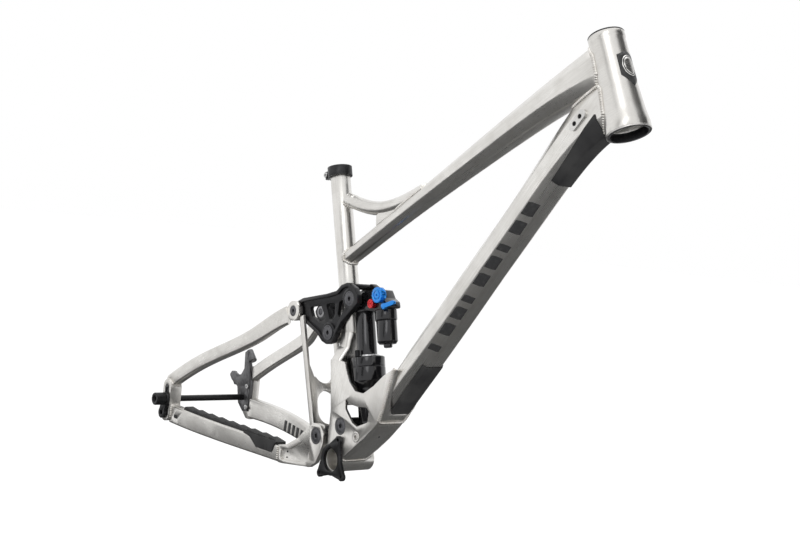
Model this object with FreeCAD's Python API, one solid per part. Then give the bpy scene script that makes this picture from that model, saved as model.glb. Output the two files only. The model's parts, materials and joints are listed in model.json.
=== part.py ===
"""Full-suspension mountain bike frame, as separate parts on one shared frame.

Millimetres. Origin at the bottom bracket centre, +X forward to the head tube, +Y to the rider's
left, +Z up. The drive side, with the chainring and derailleur, is the -Y side.
Side-view points are (x, z). Plan-view points are (x, y).
"""
import FreeCAD, Part
import math
import os

V = FreeCAD.Vector
Y = V(0, 1, 0)
Z = V(0, 0, 1)

# ---- main triangle -------------------------------------------------------------------------
HEAD_TOP = (465.2, 686.3)            # centre of the head tube's upper face
HEAD_LENGTH = 143.0
HEAD_ANGLE = 66.0                    # degrees from level
HEAD_R_TOP, HEAD_R_WAIST, HEAD_R_BOTTOM = 25.5, 24.8, 31.0
UPPER_CUP_R, LOWER_CUP_R = 22.0, 28.0            # ZS44 and ZS56 bores
UPPER_SEAT_R, LOWER_SEAT_R = 20.9, 26.0          # 41.8 mm and 52 mm bearings
CUP_DEPTH = 10.0
HEAD_BORE_R = 20.2                   # clear of the steerer, narrower than the bearing seats
SEAT_TOP = (-111.2, 489.4)           # centre of the seat tube's mouth
SEAT_ANGLE = 73.3                    # degrees from level
SEAT_TUBE_R, SEATPOST_R = 17.45, 15.8            # 34.9 mm outside, 31.6 mm post
SEAT_TUBE_FOOT = 214.0              # height where the tube ends in its lug
SEAT_BORE_DEPTH = 245.0
DOWN_ANGLE = 52.45                   # degrees from level
DOWN_AXIS_OFFSET = -12.0             # the down tube's axis passes this far below the origin
BB_SHELL_R, BB_BORE_R, BB_WIDTH = 20.5, 17.4, 73.0
TUBE_WALL = 1.9
STAY_WALL = 2.1

# ---- suspension pivots, side view ----------------------------------------------------------
PIVOT_A = (-152.8, 232.0)            # rocker to seatstays
PIVOT_B = (-56.6, 206.6)             # rocker to main frame
PIVOT_C = (-7.2, 270.6)              # rocker to shock
PIVOT_D = (10.3, 58.8)               # lower link to main frame
PIVOT_E = (-49.5, 30.2)              # lower link to chainstays
PIVOT_F = (54.3, 49.8)               # shock to main frame
REAR_AXLE = (-465.4, 19.6)
SHOCK_LENGTH = math.dist(PIVOT_C, PIVOT_F)       # about 230 mm eye to eye
LOWER_BOLT_END = 22.0                # left end of the shock's lower bolt
OPEN_PIVOT_GAP = 3.6                 # radial room in the two pivots that stay open

# ---- widths, measured from the centre plane ------------------------------------------------
CAGE_IN, CAGE_OUT = 31.5, 36.5
ROCKER_IN, ROCKER_OUT = 20.0, 31.0
LUG_IN, LUG_OUT = 31.4, 40.2
LINK_HALF = 30.8
HUB_HALF = 74.0                      # 148 mm rear hub
DROPOUT_OUT = 98.0
RUN = 0.05                           # running clearance of a pin in its bearing


# ---- small tools ---------------------------------------------------------------------------
def pt(side_point, y=0.0):
    return V(side_point[0], y, side_point[1])


def polar(angle_deg):
    """Unit side-view direction at an angle from level."""
    a = math.radians(angle_deg)
    return V(math.cos(a), 0, math.sin(a))


def across(direction):
    """Side-view normal of a direction, to its upper left."""
    return V(-direction.z, 0, direction.x)


def cyl(radius, start, end):
    axis = end - start
    return Part.makeCylinder(radius, axis.Length, start, axis)


def pin(side_point, radius, y0, y1):
    """Cylinder along Y between two widths."""
    return cyl(radius, pt(side_point, y0), pt(side_point, y1))


def ring(side_point, outer, inner, y0, y1):
    return pin(side_point, outer, y0, y1).cut(pin(side_point, inner, y0 - 1, y1 + 1))


def mirrored(shape):
    return shape.mirror(V(0, 0, 0), Y)


def both_sides(shape):
    return Part.makeCompound([shape, mirrored(shape)])


def rounded_wire(points, radius):
    """Closed wire through 3-D points, each corner rounded by an arc."""
    arcs, starts, ends = [], [], []
    count = len(points)
    for i, corner in enumerate(points):
        back = points[i - 1] - corner
        ahead = points[(i + 1) % count] - corner
        half = back.getAngle(ahead) / 2
        reach = min(radius / math.tan(half), 0.45 * back.Length, 0.45 * ahead.Length)
        back.normalize()
        ahead.normalize()
        r = reach * math.tan(half)
        inward = (back + ahead).normalize()
        centre = corner + inward * (r / math.sin(half))
        starts.append(corner + back * reach)
        ends.append(corner + ahead * reach)
        arcs.append(Part.Arc(starts[i], centre - inward * r, ends[i]).toShape())
    wire = []
    for i, arc in enumerate(arcs):
        wire.append(arc)
        wire.append(Part.LineSegment(ends[i], starts[(i + 1) % count]).toShape())
    return Part.Wire(wire)


def plate(side_points, y0, y1, radius=0.0):
    """Plate of a side-view outline between two widths."""
    corners = [pt(p, y0) for p in side_points]
    wire = rounded_wire(corners, radius) if radius else Part.makePolygon(corners + corners[:1])
    return Part.Face(wire).extrude(V(0, y1 - y0, 0))


def capsule(p, q, radius, y0, y1):
    """Bar with round ends between two side-view points."""
    u = (pt(q) - pt(p)).normalize()
    n = across(u) * radius
    corners = [pt(p, y0) + n, pt(q, y0) + n, pt(q, y0) - n, pt(p, y0) - n]
    bar = Part.Face(Part.makePolygon(corners + corners[:1])).extrude(V(0, y1 - y0, 0))
    return bar.fuse([pin(p, radius, y0, y1), pin(q, radius, y0, y1)]).removeSplitter()


def spline(points):
    curve = Part.BSplineCurve()
    curve.interpolate(points)
    return curve.toShape()


def band(edge_a, edge_b):
    """Face between two curves that run the same way."""
    a, b = spline(edge_a), spline(edge_b)
    start = Part.LineSegment(edge_a[0], edge_b[0]).toShape()
    end = Part.LineSegment(edge_a[-1], edge_b[-1]).toShape()
    return Part.Face(Part.Wire(Part.__sortEdges__([a, end, b, start])))


def offset_points(points, distances, plane_normal):
    """Points moved sideways in their plane by the distances given."""
    moved = []
    for i, p in enumerate(points):
        ahead = points[min(i + 1, len(points) - 1)]
        behind = points[max(i - 1, 0)]
        side = plane_normal.cross((ahead - behind).normalize())
        moved.append(p + side * distances[i])
    return moved


def stay_solid(route, half_heights, half_widths, inset=0.0):
    """Square-cornered bar along a route of (x, y, z), from its side view and its plan view."""
    side = [V(x, -200, z) for x, y, z in route]
    plan = [V(x, y, -200) for x, y, z in route]
    up = offset_points(side, [h - inset for h in half_heights], Y)
    down = offset_points(side, [inset - h for h in half_heights], Y)
    left = offset_points(plan, [w - inset for w in half_widths], Z)
    right = offset_points(plan, [inset - w for w in half_widths], Z)
    return band(up, down).extrude(V(0, 400, 0)).common(band(left, right).extrude(V(0, 0, 600)))


def stay(route, half_heights, half_widths, hollow):
    """Hollow box-section tube; hollow is the (from, to) length of its bore along X."""
    body = softened(stay_solid(route, half_heights, half_widths), 4.0, long_edges_over=60)
    bore = stay_solid(route, half_heights, half_widths, STAY_WALL)
    x0, x1 = hollow
    return body.cut(bore.common(Part.makeBox(x1 - x0, 400, 500, V(x0, 0, -100))))


def softened(shape, radius, long_edges_over):
    """Round the long edges; keep the sharp shape if a fillet can't be made."""
    edges = [e for e in shape.Edges if e.Length > long_edges_over]
    for attempt in (radius, radius * 0.6, radius * 0.3):
        try:
            done = shape.makeFillet(attempt, edges)
        except Part.OCCError:
            continue
        if done.isValid() and done.Volume > 0:
            return done
    print("not rounded:", len(edges), "edges")
    return shape


def largest(shape):
    """The main solid of a cut that also leaves slivers."""
    return max(shape.Solids, key=lambda solid: solid.Volume)


def loft(wires):
    return Part.makeLoft(wires, True, False)


def tube_section(centre, normal, up, down, half, flat=0.5, corner=6.0):
    """Eight-sided hydroformed section: narrow top and bottom, full-width sides."""
    outline = [(up, flat * half), (0.42 * up, half), (-0.35 * down, half), (-down, flat * half)]
    outline += [(n, -y) for n, y in reversed(outline)]
    return rounded_wire([centre + normal * n + Y * y for n, y in outline], corner)


def hollow_tube(stations, wall):
    """Loft of (centre, normal, up, down, half, flat) stations with a wall."""
    outer = loft([tube_section(*s) for s in stations])
    inner = []
    for centre, normal, up, down, half, flat in stations:
        inner.append(tube_section(centre, normal, up - wall, down - wall, half - wall, flat, 4.0))
    return outer, loft(inner)


def half_space(side_point, direction, keep_above, size=900.0):
    """Large block above or below a line in side view."""
    n = across(direction) * (size if keep_above else -size)
    p = pt(side_point, -size)
    a, b = p - direction * size, p + direction * size
    corners = [a, b, b + n, a + n]
    return Part.Face(Part.makePolygon(corners + corners[:1])).extrude(V(0, 2 * size, 0))


# ---- directions worked out from the driving sizes ------------------------------------------
HEAD_AXIS = polar(180 - HEAD_ANGLE) * -1         # down the head tube
HEAD_REAR = V(HEAD_AXIS.z, 0, -HEAD_AXIS.x)      # square to it, to the rear
SEAT_AXIS = polar(180 - SEAT_ANGLE) * -1         # down the seat tube
DOWN_AXIS = polar(DOWN_ANGLE)
DOWN_UP = across(DOWN_AXIS)
SHOCK_AXIS = (pt(PIVOT_F) - pt(PIVOT_C)).normalize()
SHOCK_FRONT = V(-SHOCK_AXIS.z, 0, SHOCK_AXIS.x)


def on_head(t, rear=0.0):
    return pt(HEAD_TOP) + HEAD_AXIS * t + HEAD_REAR * rear


def on_seat(t):
    return pt(SEAT_TOP) + SEAT_AXIS * t


def on_down(s, up=0.0):
    return DOWN_AXIS * s + DOWN_UP * (DOWN_AXIS_OFFSET + up)


def on_shock(t, front=0.0, y=0.0):
    """Point t down the shock from its upper eye, and this far in front of its axis."""
    return pt(PIVOT_C) + SHOCK_AXIS * t + SHOCK_FRONT * front + Y * y


def revolved_on(origin, axis, sideways, profile):
    """Solid of revolution from (distance along, radius) points."""
    corners = [origin + axis * t + sideways * r for t, r in profile]
    face = Part.Face(Part.makePolygon(corners + corners[:1]))
    return face.revolve(origin, axis, 360)


# ---- main triangle -------------------------------------------------------------------------
def head_tube_blank():
    lip = 7.0
    return revolved_on(on_head(0), HEAD_AXIS, HEAD_REAR, [
        (0, 0), (0, HEAD_R_TOP), (lip, HEAD_R_TOP), (lip + 3, HEAD_R_WAIST),
        (0.55 * HEAD_LENGTH, 26.4), (0.82 * HEAD_LENGTH, 28.9),
        (HEAD_LENGTH - lip - 3, HEAD_R_BOTTOM), (HEAD_LENGTH, HEAD_R_BOTTOM), (HEAD_LENGTH, 0)])


def head_tube():
    bore = revolved_on(on_head(0), HEAD_AXIS, HEAD_REAR, [
        (-1, 0), (-1, UPPER_CUP_R), (CUP_DEPTH, UPPER_CUP_R), (CUP_DEPTH, HEAD_BORE_R),
        (0.5 * HEAD_LENGTH, HEAD_BORE_R), (HEAD_LENGTH - CUP_DEPTH, 24.5),
        (HEAD_LENGTH - CUP_DEPTH, LOWER_CUP_R), (HEAD_LENGTH + 1, LOWER_CUP_R),
        (HEAD_LENGTH + 1, 0)])
    return head_tube_blank().cut(bore)


def headset_cup(end, outward, cup_r, seat_r, flange_r):
    """Bearing cup with a thin flange that sits on the head tube's end."""
    flange = 2.0
    return revolved_on(end, outward, HEAD_REAR, [
        (flange, flange_r - 0.6), (flange, seat_r), (-CUP_DEPTH, seat_r), (-CUP_DEPTH, cup_r),
        (0, cup_r), (0, flange_r), (flange - 0.6, flange_r)])


def upper_headset_cup():
    return headset_cup(on_head(0), HEAD_AXIS * -1, UPPER_CUP_R, UPPER_SEAT_R, HEAD_R_TOP)


def lower_headset_cup():
    return headset_cup(on_head(HEAD_LENGTH), HEAD_AXIS, LOWER_CUP_R, LOWER_SEAT_R, HEAD_R_BOTTOM)


CROTCH = (413.0, 579.0)              # where the top and down tubes part, side view
SEAM_DIRECTION = (pt((469.0, 611.0)) - pt(CROTCH)).normalize()
CAGE_SEAM_FOOT, CAGE_SEAM_HEAD = (100.0, 62.0), (131.0, 168.0)
CAGE_SEAM_DIRECTION = (pt(CAGE_SEAM_HEAD) - pt(CAGE_SEAM_FOOT)).normalize()


def down_tube_stations():
    """Boxy at the shock cage, eight-sided in the middle, deep and bent at the head tube."""
    stations = [
        (on_down(96), DOWN_UP, 25, 21.5, 31.2, 0.50),
        (on_down(215), DOWN_UP, 25, 22, 30.5, 0.50),
        (on_down(330), DOWN_UP, 26, 25, 27.5, 0.48),
        (on_down(470), DOWN_UP, 26, 25, 27.0, 0.46),
        (on_down(610), DOWN_UP, 26, 26, 27.0, 0.46)]
    bend = polar(DOWN_ANGLE - 7)
    stations.append((on_down(668, -2), across(bend), 31, 26, 27.0, 0.46))
    stations.append((on_head(96, -6), HEAD_AXIS * -1, 55, 40, 22.5, 0.46))
    return stations


def down_tube_blanks():
    return hollow_tube(down_tube_stations(), TUBE_WALL)


def down_tube():
    outer, inner = down_tube_blanks()
    tube = outer.cut(inner).cut(head_tube_blank())
    tube = tube.cut(half_space(CROTCH, SEAM_DIRECTION, keep_above=True))
    tube = tube.cut(half_space(CAGE_SEAM_FOOT, CAGE_SEAM_DIRECTION, keep_above=True))
    return largest(tube)


def top_tube_stations():
    """Slim at the seat tube, deep at the head tube."""
    line = [((-62.0, 332.0), 12.0, 15.0), ((0.0, 370.8), 13.0, 16.0), ((140.0, 457.2), 15.0, 18.0),
            ((276.0, 539.3), 19.5, 21.0), ((400.0, 610.4), 25.5, 24.0)]
    stations = []
    for i, (centre, half_depth, half_width) in enumerate(line):
        ahead = pt(line[min(i + 1, len(line) - 1)][0])
        behind = pt(line[max(i - 1, 0)][0])
        normal = across((ahead - behind).normalize())
        stations.append((pt(centre), normal, half_depth, half_depth, half_width, 0.5))
    stations.append((on_head(42, -4), HEAD_AXIS * -1, 38, 38, 21.0, 0.5))
    return stations


def top_tube_blank():
    return hollow_tube(top_tube_stations(), 1.8)


def seat_tube_blank():
    rod = cyl(SEAT_TUBE_R, on_seat(0), on_seat(330))
    return rod.cut(Part.makeBox(200, 100, 100, V(-120, -50, SEAT_TUBE_FOOT - 100)))


def top_tube():
    outer, inner = top_tube_blank()
    tube = outer.cut(inner).cut(head_tube_blank()).cut(seat_tube_blank())
    return tube.cut(half_space(CROTCH, SEAM_DIRECTION, keep_above=False))


BRACE_ROUTE = [(-97.0, 441.0), (-60.0, 433.0), (-20.0, 426.5), (20.0, 426.5), (62.0, 436.0),
               (112.0, 456.0), (170.0, 482.0)]
BRACE_R, BRACE_WALL = 11.8, 1.8
BRACE_WEB = [(16, 397), (60, 424), (66, 434), (30, 424), (14, 414)]


def seat_tube_brace():
    """Kicked strut that leaves the seat tube level and meets the top tube from above."""
    path = spline([pt(p) for p in BRACE_ROUTE])
    start, tangent = pt(BRACE_ROUTE[0]), path.tangentAt(path.FirstParameter)
    strut, bore = [
        Part.Wire(path).makePipeShell([Part.Wire(Part.makeCircle(r, start, tangent))], True, True)
        for r in (BRACE_R, BRACE_R - BRACE_WALL)]
    neighbours = [seat_tube_blank(), top_tube_blank()[0]]
    strut = largest(strut.cut(neighbours))
    web = plate(BRACE_WEB, -8, 8).cut(neighbours)
    return largest(strut.fuse(web).cut(bore))


def seat_tube():
    bore = cyl(SEATPOST_R, on_seat(-1), on_seat(SEAT_BORE_DEPTH)).fuse(
        cyl(SEATPOST_R - 1, on_seat(SEAT_BORE_DEPTH - 1), on_seat(330)))
    slot = seat_frame(Part.makeBox(40, 2.4, 36, V(-40, -1.2, -34)))
    return seat_tube_blank().cut([bore, slot])


CLAMP_HEIGHT = 17.0
CLAMP_R = 21.4
CLAMP_BOLT_X = -25.5


def seat_frame(shape):
    """Place a shape drawn upright at the origin onto the seat tube's mouth."""
    shape.rotate(V(0, 0, 0), Y, -(90 - SEAT_ANGLE))
    shape.translate(on_seat(0))
    return shape


def seat_clamp():
    """Split collar with two ears to the rear and a lip over the tube's end."""
    collar = Part.makeCylinder(CLAMP_R, CLAMP_HEIGHT, V(0, 0, -CLAMP_HEIGHT + 1.5))
    ears = Part.makeBox(14, 17, CLAMP_HEIGHT - 3, V(-32, -8.5, -CLAMP_HEIGHT + 3))
    body = collar.fuse(ears)
    body = body.cut(Part.makeCylinder(SEAT_TUBE_R, CLAMP_HEIGHT, V(0, 0, -CLAMP_HEIGHT)))
    body = body.cut(Part.makeCylinder(SEATPOST_R + 0.2, 8, V(0, 0, -2)))
    body = body.cut(Part.makeBox(30, 2.4, 30, V(-40, -1.2, -22)))
    hole = Part.makeCylinder(2.6, 40, V(CLAMP_BOLT_X - 1, -20, -7), Y)
    return seat_frame(body.cut(hole).removeSplitter())


def seat_clamp_bolt():
    x, z = CLAMP_BOLT_X - 1, -7
    shank = Part.makeCylinder(2.6, 20, V(x, -11, z), Y)
    head = Part.makeCylinder(4.4, 4.5, V(x, -13, z), Y)
    socket = Part.makeCylinder(2.1, 3, V(x, -13, z), Y)
    nut = Part.makeCylinder(4.4, 3.5, V(x, 8.5, z), Y)
    return seat_frame(shank.fuse([head, nut]).cut(socket).removeSplitter())


def down_tube_guard(s0, s1, up_edge, bulge=2.2):
    """Rubber shell over the underside of the down tube between two stations."""
    outer = down_tube_blanks()[0]
    grown = loft([tube_section(c, n, up + bulge, down + bulge, half + bulge, flat, 7.0)
                  for c, n, up, down, half, flat in down_tube_stations()])
    low = Part.makeBox(s1 - s0, 200, 90, V(s0, -100, up_edge - 90 + DOWN_AXIS_OFFSET))
    low.rotate(V(0, 0, 0), Y, -DOWN_ANGLE)
    return grown.cut(outer).common(low).cut(head_tube_blank())


def lower_down_tube_guard():
    return down_tube_guard(151, 262, -18)


def upper_down_tube_guard():
    guard = down_tube_guard(636, 790, -19)
    return guard.cut(half_space((497, 545), HEAD_AXIS * -1, keep_above=False))


PORT_CENTRE = (455.0, 569.0)
PORT_Y = -26.6


def cable_port_insert():
    """Oval grommet with two cable holes, on the drive side behind the head tube."""
    u = polar(50)
    a, b = pt(PORT_CENTRE) - u * 11, pt(PORT_CENTRE) + u * 11
    body = capsule((a.x, a.z), (b.x, b.z), 6.5, PORT_Y - 2.6, PORT_Y + 2)
    for end in (-1, 1):
        c = pt(PORT_CENTRE) + u * (6.5 * end)
        body = body.cut(pin((c.x, c.z), 3.4, PORT_Y - 3, PORT_Y + 0.8))
    return body.cut(down_tube_blanks()[0])


# ---- shock cage and bottom bracket ---------------------------------------------------------
WALL_OUTLINE = [
    (-35, 166), (-31, 148), (-20, 80), (-20, 14), (12, 4), (34, 9), (60, 22), (90, 48), (112, 76),
    (115, 104), (131, 168), (136, 177), (109, 160), (86, 139), (62, 123), (40, 123), (22, 136),
    (9, 157), (5, 166)]
WINDOW_OUTLINE = [(17, 107), (19, 90), (30, 80), (40, 71), (54, 66.5), (81, 79), (82, 97),
                  (75, 102), (52, 99), (34, 99.5), (26, 102)]
BELLY_DRIVE = [(28, 12), (51, 31), (77, 53), (106, 82), (113, 100)]      # at the drive wall
BELLY_MIDDLE = [(30, 8), (54, 27), (80, 50), (108, 79), (115, 98)]
BELLY_LEFT = [(14, 11), (36, 30), (57, 50), (80, 74), (102, 100)]        # at the left wall
BELLY_MIDDLE_FROM, BELLY_MIDDLE_TO = -28.0, 14.0
CAGE_FLOOR_WALL = 3.0


def bottom_bracket_blank():
    return pin((0, 0), BB_SHELL_R, -BB_WIDTH / 2, BB_WIDTH / 2)


def bottom_bracket_shell():
    return bottom_bracket_blank().cut(pin((0, 0), BB_BORE_R, -50, 50))


def belly(inset):
    """Everything above the cage's underside, which runs up to the left wall at a slant."""
    sections = []
    edges = ((-CAGE_OUT + inset, BELLY_DRIVE), (BELLY_MIDDLE_FROM + 0.6 * inset, BELLY_MIDDLE),
             (BELLY_MIDDLE_TO - 0.4 * inset, BELLY_MIDDLE), (CAGE_OUT - inset, BELLY_LEFT))
    for y, edge in edges:
        lower = offset_points([pt(p, y) for p in edge], [-inset] * len(edge), Y)
        corners = [pt((-90, -10), y), pt((0, -10), y)] + lower
        corners += [pt((141, 175), y), pt((141, 230), y), pt((-90, 230), y)]
        sections.append(Part.makePolygon(corners + corners[:1]))
    return Part.makeLoft(sections, True, True)


def cage_wall():
    """Left wall of the shock cage, with its window and the lower link's bore."""
    wire = rounded_wire([pt(p, CAGE_IN) for p in WALL_OUTLINE], 4.5)
    wall = Part.Face(wire).extrude(V(0, CAGE_OUT - CAGE_IN, 0))
    return wall.cut([plate(WINDOW_OUTLINE, CAGE_IN - 1, CAGE_OUT + 1, 3.0),
                     pin(PIVOT_D, 14.5, CAGE_IN - 1, CAGE_OUT + 1), bottom_bracket_blank()])


def cage_left_wall():
    return cage_wall().common(belly(0.0)).removeSplitter()


def cage_drive_wall():
    """Drive wall; it also carries the shock's lower bolt."""
    boss = pin(PIVOT_F, 11.5, -CAGE_IN, -EYE_HALF - 0.4)
    wall = mirrored(cage_wall()).fuse(boss).common(belly(0.0))
    bores = [pin(PIVOT_F, 6.0, -CAGE_OUT - 1, -10), pin(PIVOT_F, 9.0, -CAGE_OUT - 1, 3 - CAGE_OUT)]
    return wall.cut(bores).removeSplitter()


def cage_floor():
    """Belly plate from the bottom bracket to the down tube, with the left boss for the shock."""
    shell = belly(0.0).cut(belly(CAGE_FLOOR_WALL))
    boss = pin(PIVOT_F, 11.5, EYE_HALF + 0.4, CAGE_IN).common(belly(0.0))
    room = Part.makeBox(200, 2 * CAGE_IN, 112, V(0, -CAGE_IN, -10))
    shell = shell.fuse(boss).common(room)
    seam_side = half_space(CAGE_SEAM_FOOT, CAGE_SEAM_DIRECTION, keep_above=False)
    bore = pin(PIVOT_F, 6.0, 0, CAGE_OUT)
    drive_boss = pin(PIVOT_F, 11.5, -CAGE_IN, 0)
    return largest(shell.cut([bottom_bracket_blank(), seam_side, bore, drive_boss]))


# height, rear x, front x, half width, corner
SHOULDER_SECTIONS = [
    (SEAT_TUBE_FOOT, -46.5, -12.5, 17.4, 15.5), (200.0, -43.0, -13.5, 18.6, 9.0),
    (187.0, -39.5, -13.0, 20.5, 8.0), (166.0, -35.0, -10.5, CAGE_OUT, 7.0)]
COLUMN_SECTIONS = [(166.0, -35.0, -11.0, CAGE_IN, 5.0), (92.0, -22.0, 2.0, CAGE_IN, 5.0)]


def box_column(sections, wall):
    """Ruled loft of rounded rectangles, and the same loft inset by a wall."""
    outer, inner = [], []
    for z, rear, front, half, corner in sections:
        for inset, wires in ((0.0, outer), (wall, inner)):
            box = [V(rear + inset, inset - half, z), V(front - inset, inset - half, z),
                   V(front - inset, half - inset, z), V(rear + inset, half - inset, z)]
            wires.append(rounded_wire(box, corner - 0.6 * inset))
    return Part.makeLoft(outer, True, True), Part.makeLoft(inner, True, True)


def seat_tube_lug():
    """Hollow lug from the seat tube out to the cage walls, and the column between them."""
    shoulder, shoulder_bore = box_column(SHOULDER_SECTIONS, 4.0)
    column, column_bore = box_column(COLUMN_SECTIONS, 4.0)
    neck = Part.makeBox(26, 28, 26, V(-62, -14, 190))
    boss = pin(PIVOT_B, 14.0, -19.4, 19.4)
    lug = shoulder.fuse([column, neck, boss])
    lug = lug.cut([shoulder_bore, column_bore, pin(PIVOT_B, 7.5, -25, 25), seat_tube_blank()])
    return largest(lug.removeSplitter())


CHAIN_GUIDE_R = 39.0                 # holes for a chain guide, round the bottom bracket
CHAIN_GUIDE_ANGLES = (68.0, 226.0, 326.0)


def chain_guide_mount():
    """Three-armed tab plate on the drive side of the bottom bracket shell."""
    y0, y1 = -42.2, -BB_WIDTH / 2
    body = pin((0, 0), 26.5, y0, y1)
    for angle in CHAIN_GUIDE_ANGLES:
        out, side = polar(angle), across(polar(angle))
        arm = [out * 12 + side * 21, out * CHAIN_GUIDE_R + side * 7,
               out * CHAIN_GUIDE_R - side * 7, out * 12 - side * 21]
        body = body.fuse([plate([(c.x, c.z) for c in arm], y0, y1),
                          pin((out.x * CHAIN_GUIDE_R, out.z * CHAIN_GUIDE_R), 7.0, y0, y1)])
    holes = [pin((0, 0), 19.5, y0 - 1, y1 + 1)]
    for angle in CHAIN_GUIDE_ANGLES:
        end = polar(angle) * CHAIN_GUIDE_R
        holes.append(pin((end.x, end.z), 2.6, y0 - 1, y1 + 1))
    return body.cut(holes).removeSplitter()


def flush_axle(side_point, shank_r, head_r, half_length, head_depth):
    """Pivot axle with a flush socket head at each side."""
    axle = pin(side_point, shank_r, -half_length, half_length)
    for side in (-1, 1):
        inner = side * (half_length - head_depth)
        axle = axle.fuse(pin(side_point, head_r, min(inner, side * half_length),
                             max(inner, side * half_length)))
    for side in (-1, 1):
        face = side * half_length
        axle = axle.cut(hex_socket(side_point, 4.0, face, face - side * 4.0))
        groove = ring(side_point, head_r - 2.4, head_r - 3.4, min(face, face - side * 0.6),
                      max(face, face - side * 0.6))
        axle = axle.cut(groove)
    return axle.removeSplitter()


def hex_socket(side_point, radius, y0, y1):
    corners = []
    for i in range(6):
        arm = polar(60 * i) * radius
        corners.append((side_point[0] + arm.x, side_point[1] + arm.z))
    return plate(corners, min(y0, y1), max(y0, y1))


def lower_link_axle():
    return flush_axle(PIVOT_D, 7.5, 14.3, CAGE_OUT, 4.8)


def rocker_axle():
    return flush_axle(PIVOT_B, 7.45, 13.0, 32.0, 3.0)


def shock_lower_bolt():
    """Bolt from the drive wall, with a flush socket head, into the left boss."""
    face = -CAGE_OUT - 0.5
    bolt = pin(PIVOT_F, 6.0, face, LOWER_BOLT_END).fuse(pin(PIVOT_F, 8.8, face, face + 3.2))
    groove = ring(PIVOT_F, 6.0, 4.9, face - 1, face + 0.6)
    return bolt.cut([hex_socket(PIVOT_F, 3.2, face, face + 4.0), groove]).removeSplitter()


# ---- rocker --------------------------------------------------------------------------------
BRIDGE = (-19.0, 290.5)
BRIDGE_R = 5.0
ROCKER_WINDOWS = [
    [(-121, 243), (-89, 250.5), (-72, 229), (-91, 220), (-112, 228)],
    [(-75, 253.5), (-50, 259), (-46, 243), (-50, 230), (-60, 229)],
    [(-38, 262), (-27, 268), (-20, 256), (-33, 235), (-39, 240)]]


def rocker_outline():
    """Triangle round the three pivots, with a hollow front edge."""
    return [(-159, 247), (-139, 256.5), (-70, 272), (-44, 280), (-32, 291), (-16, 297), (3, 290),
            (13, 279), (15.5, 266), (2, 253), (-24, 229), (-38, 205), (-44, 191),
            (-58, 186.5), (-72, 190), (-88, 201), (-132, 217), (-157, 215), (-169.8, 230)]


def rocker_plate():
    """Left plate of the rocker: deep rim, thin web, three windows."""
    wire = rounded_wire([pt(p, ROCKER_IN) for p in rocker_outline()], 5.0)
    body = Part.Face(wire).extrude(V(0, ROCKER_OUT - ROCKER_IN, 0))
    inner = Part.Face(wire).makeOffset2D(-6.0)
    inner.translate(V(0, ROCKER_OUT - ROCKER_IN - 3.5, 0))
    recess = inner.extrude(V(0, 6, 0))
    keep = [pin(p, r, 0, 60) for p, r in ((PIVOT_A, 13.5), (PIVOT_B, 17.5), (PIVOT_C, 17.5))]
    body = body.cut(recess.cut(keep))
    for window in ROCKER_WINDOWS:
        body = body.cut(plate(window, ROCKER_IN - 1, ROCKER_OUT + 1, 3.5))
    out = ROCKER_OUT + 1
    body = body.cut([pin(PIVOT_B, 12.5, 0, out), pin(PIVOT_B, 13.4, 28.8, out),
                     pin(PIVOT_A, 10.0, 0, out), pin(PIVOT_C, 7.0, 0, out),
                     pin(PIVOT_C, 13.0, 28.0, out)])
    return body.removeSplitter()


def rocker_left_plate():
    return rocker_plate()


def rocker_drive_plate():
    return mirrored(rocker_plate())


def rocker_bridge():
    return pin(BRIDGE, BRIDGE_R, -ROCKER_IN, ROCKER_IN)


def bearing(side_point, outer, inner, y0, y1):
    """Sealed bearing, drawn as one ring with a shallow seal groove."""
    body = ring(side_point, outer, inner, y0, y1)
    middle = (outer + inner) / 2
    groove = ring(side_point, middle + 1.2, middle - 1.2, y1 - 0.4, y1 + 1)
    return body.cut(groove)


def rocker_bearings():
    """Two bearings on the main frame's axle and two on the seatstay bolts."""
    front = bearing(PIVOT_B, 12.5, 7.45 + RUN, ROCKER_IN + 0.2, 28.5)
    rear = bearing(PIVOT_A, 10.0, 6.0 + RUN, ROCKER_IN, ROCKER_OUT - 0.2)
    return Part.makeCompound([front, mirrored(front), rear, mirrored(rear)])


def shock_upper_bolt():
    return flush_axle(PIVOT_C, 7.0, 12.9, ROCKER_OUT, 2.9)


def shock_upper_spacers():
    return both_sides(ring(PIVOT_C, 14.5, 7.0, 12.4, ROCKER_IN))


# ---- lower link ----------------------------------------------------------------------------
def lower_link():
    """Short H-shaped link between two cross barrels."""
    barrel_r = 14.0
    arms = capsule(PIVOT_D, PIVOT_E, 11.0, -LINK_HALF, LINK_HALF)
    body = arms.fuse([pin(PIVOT_D, barrel_r, -LINK_HALF, LINK_HALF),
                      pin(PIVOT_E, barrel_r, -LINK_HALF, LINK_HALF)])
    middle = ((PIVOT_D[0] + PIVOT_E[0]) / 2, (PIVOT_D[1] + PIVOT_E[1]) / 2)
    window = Part.makeBox(30, 30, 60, V(-15, -15, -30))
    window.rotate(V(0, 0, 0), Y, -25.5)
    window.translate(pt(middle))
    body = body.cut(window)
    half = LINK_HALF + 1
    body = body.cut([pin(PIVOT_D, 8.5, -half, half), pin(PIVOT_E, 7.5 + OPEN_PIVOT_GAP, -half, half)])
    seats = [pin(PIVOT_D, 12.0, 22, half), pin(PIVOT_D, 12.0, -half, -22)]
    return body.cut(seats).removeSplitter()


def lower_link_bearings():
    return both_sides(bearing(PIVOT_D, 12.0, 7.5 + RUN, 22, LINK_HALF - 0.2))


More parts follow.
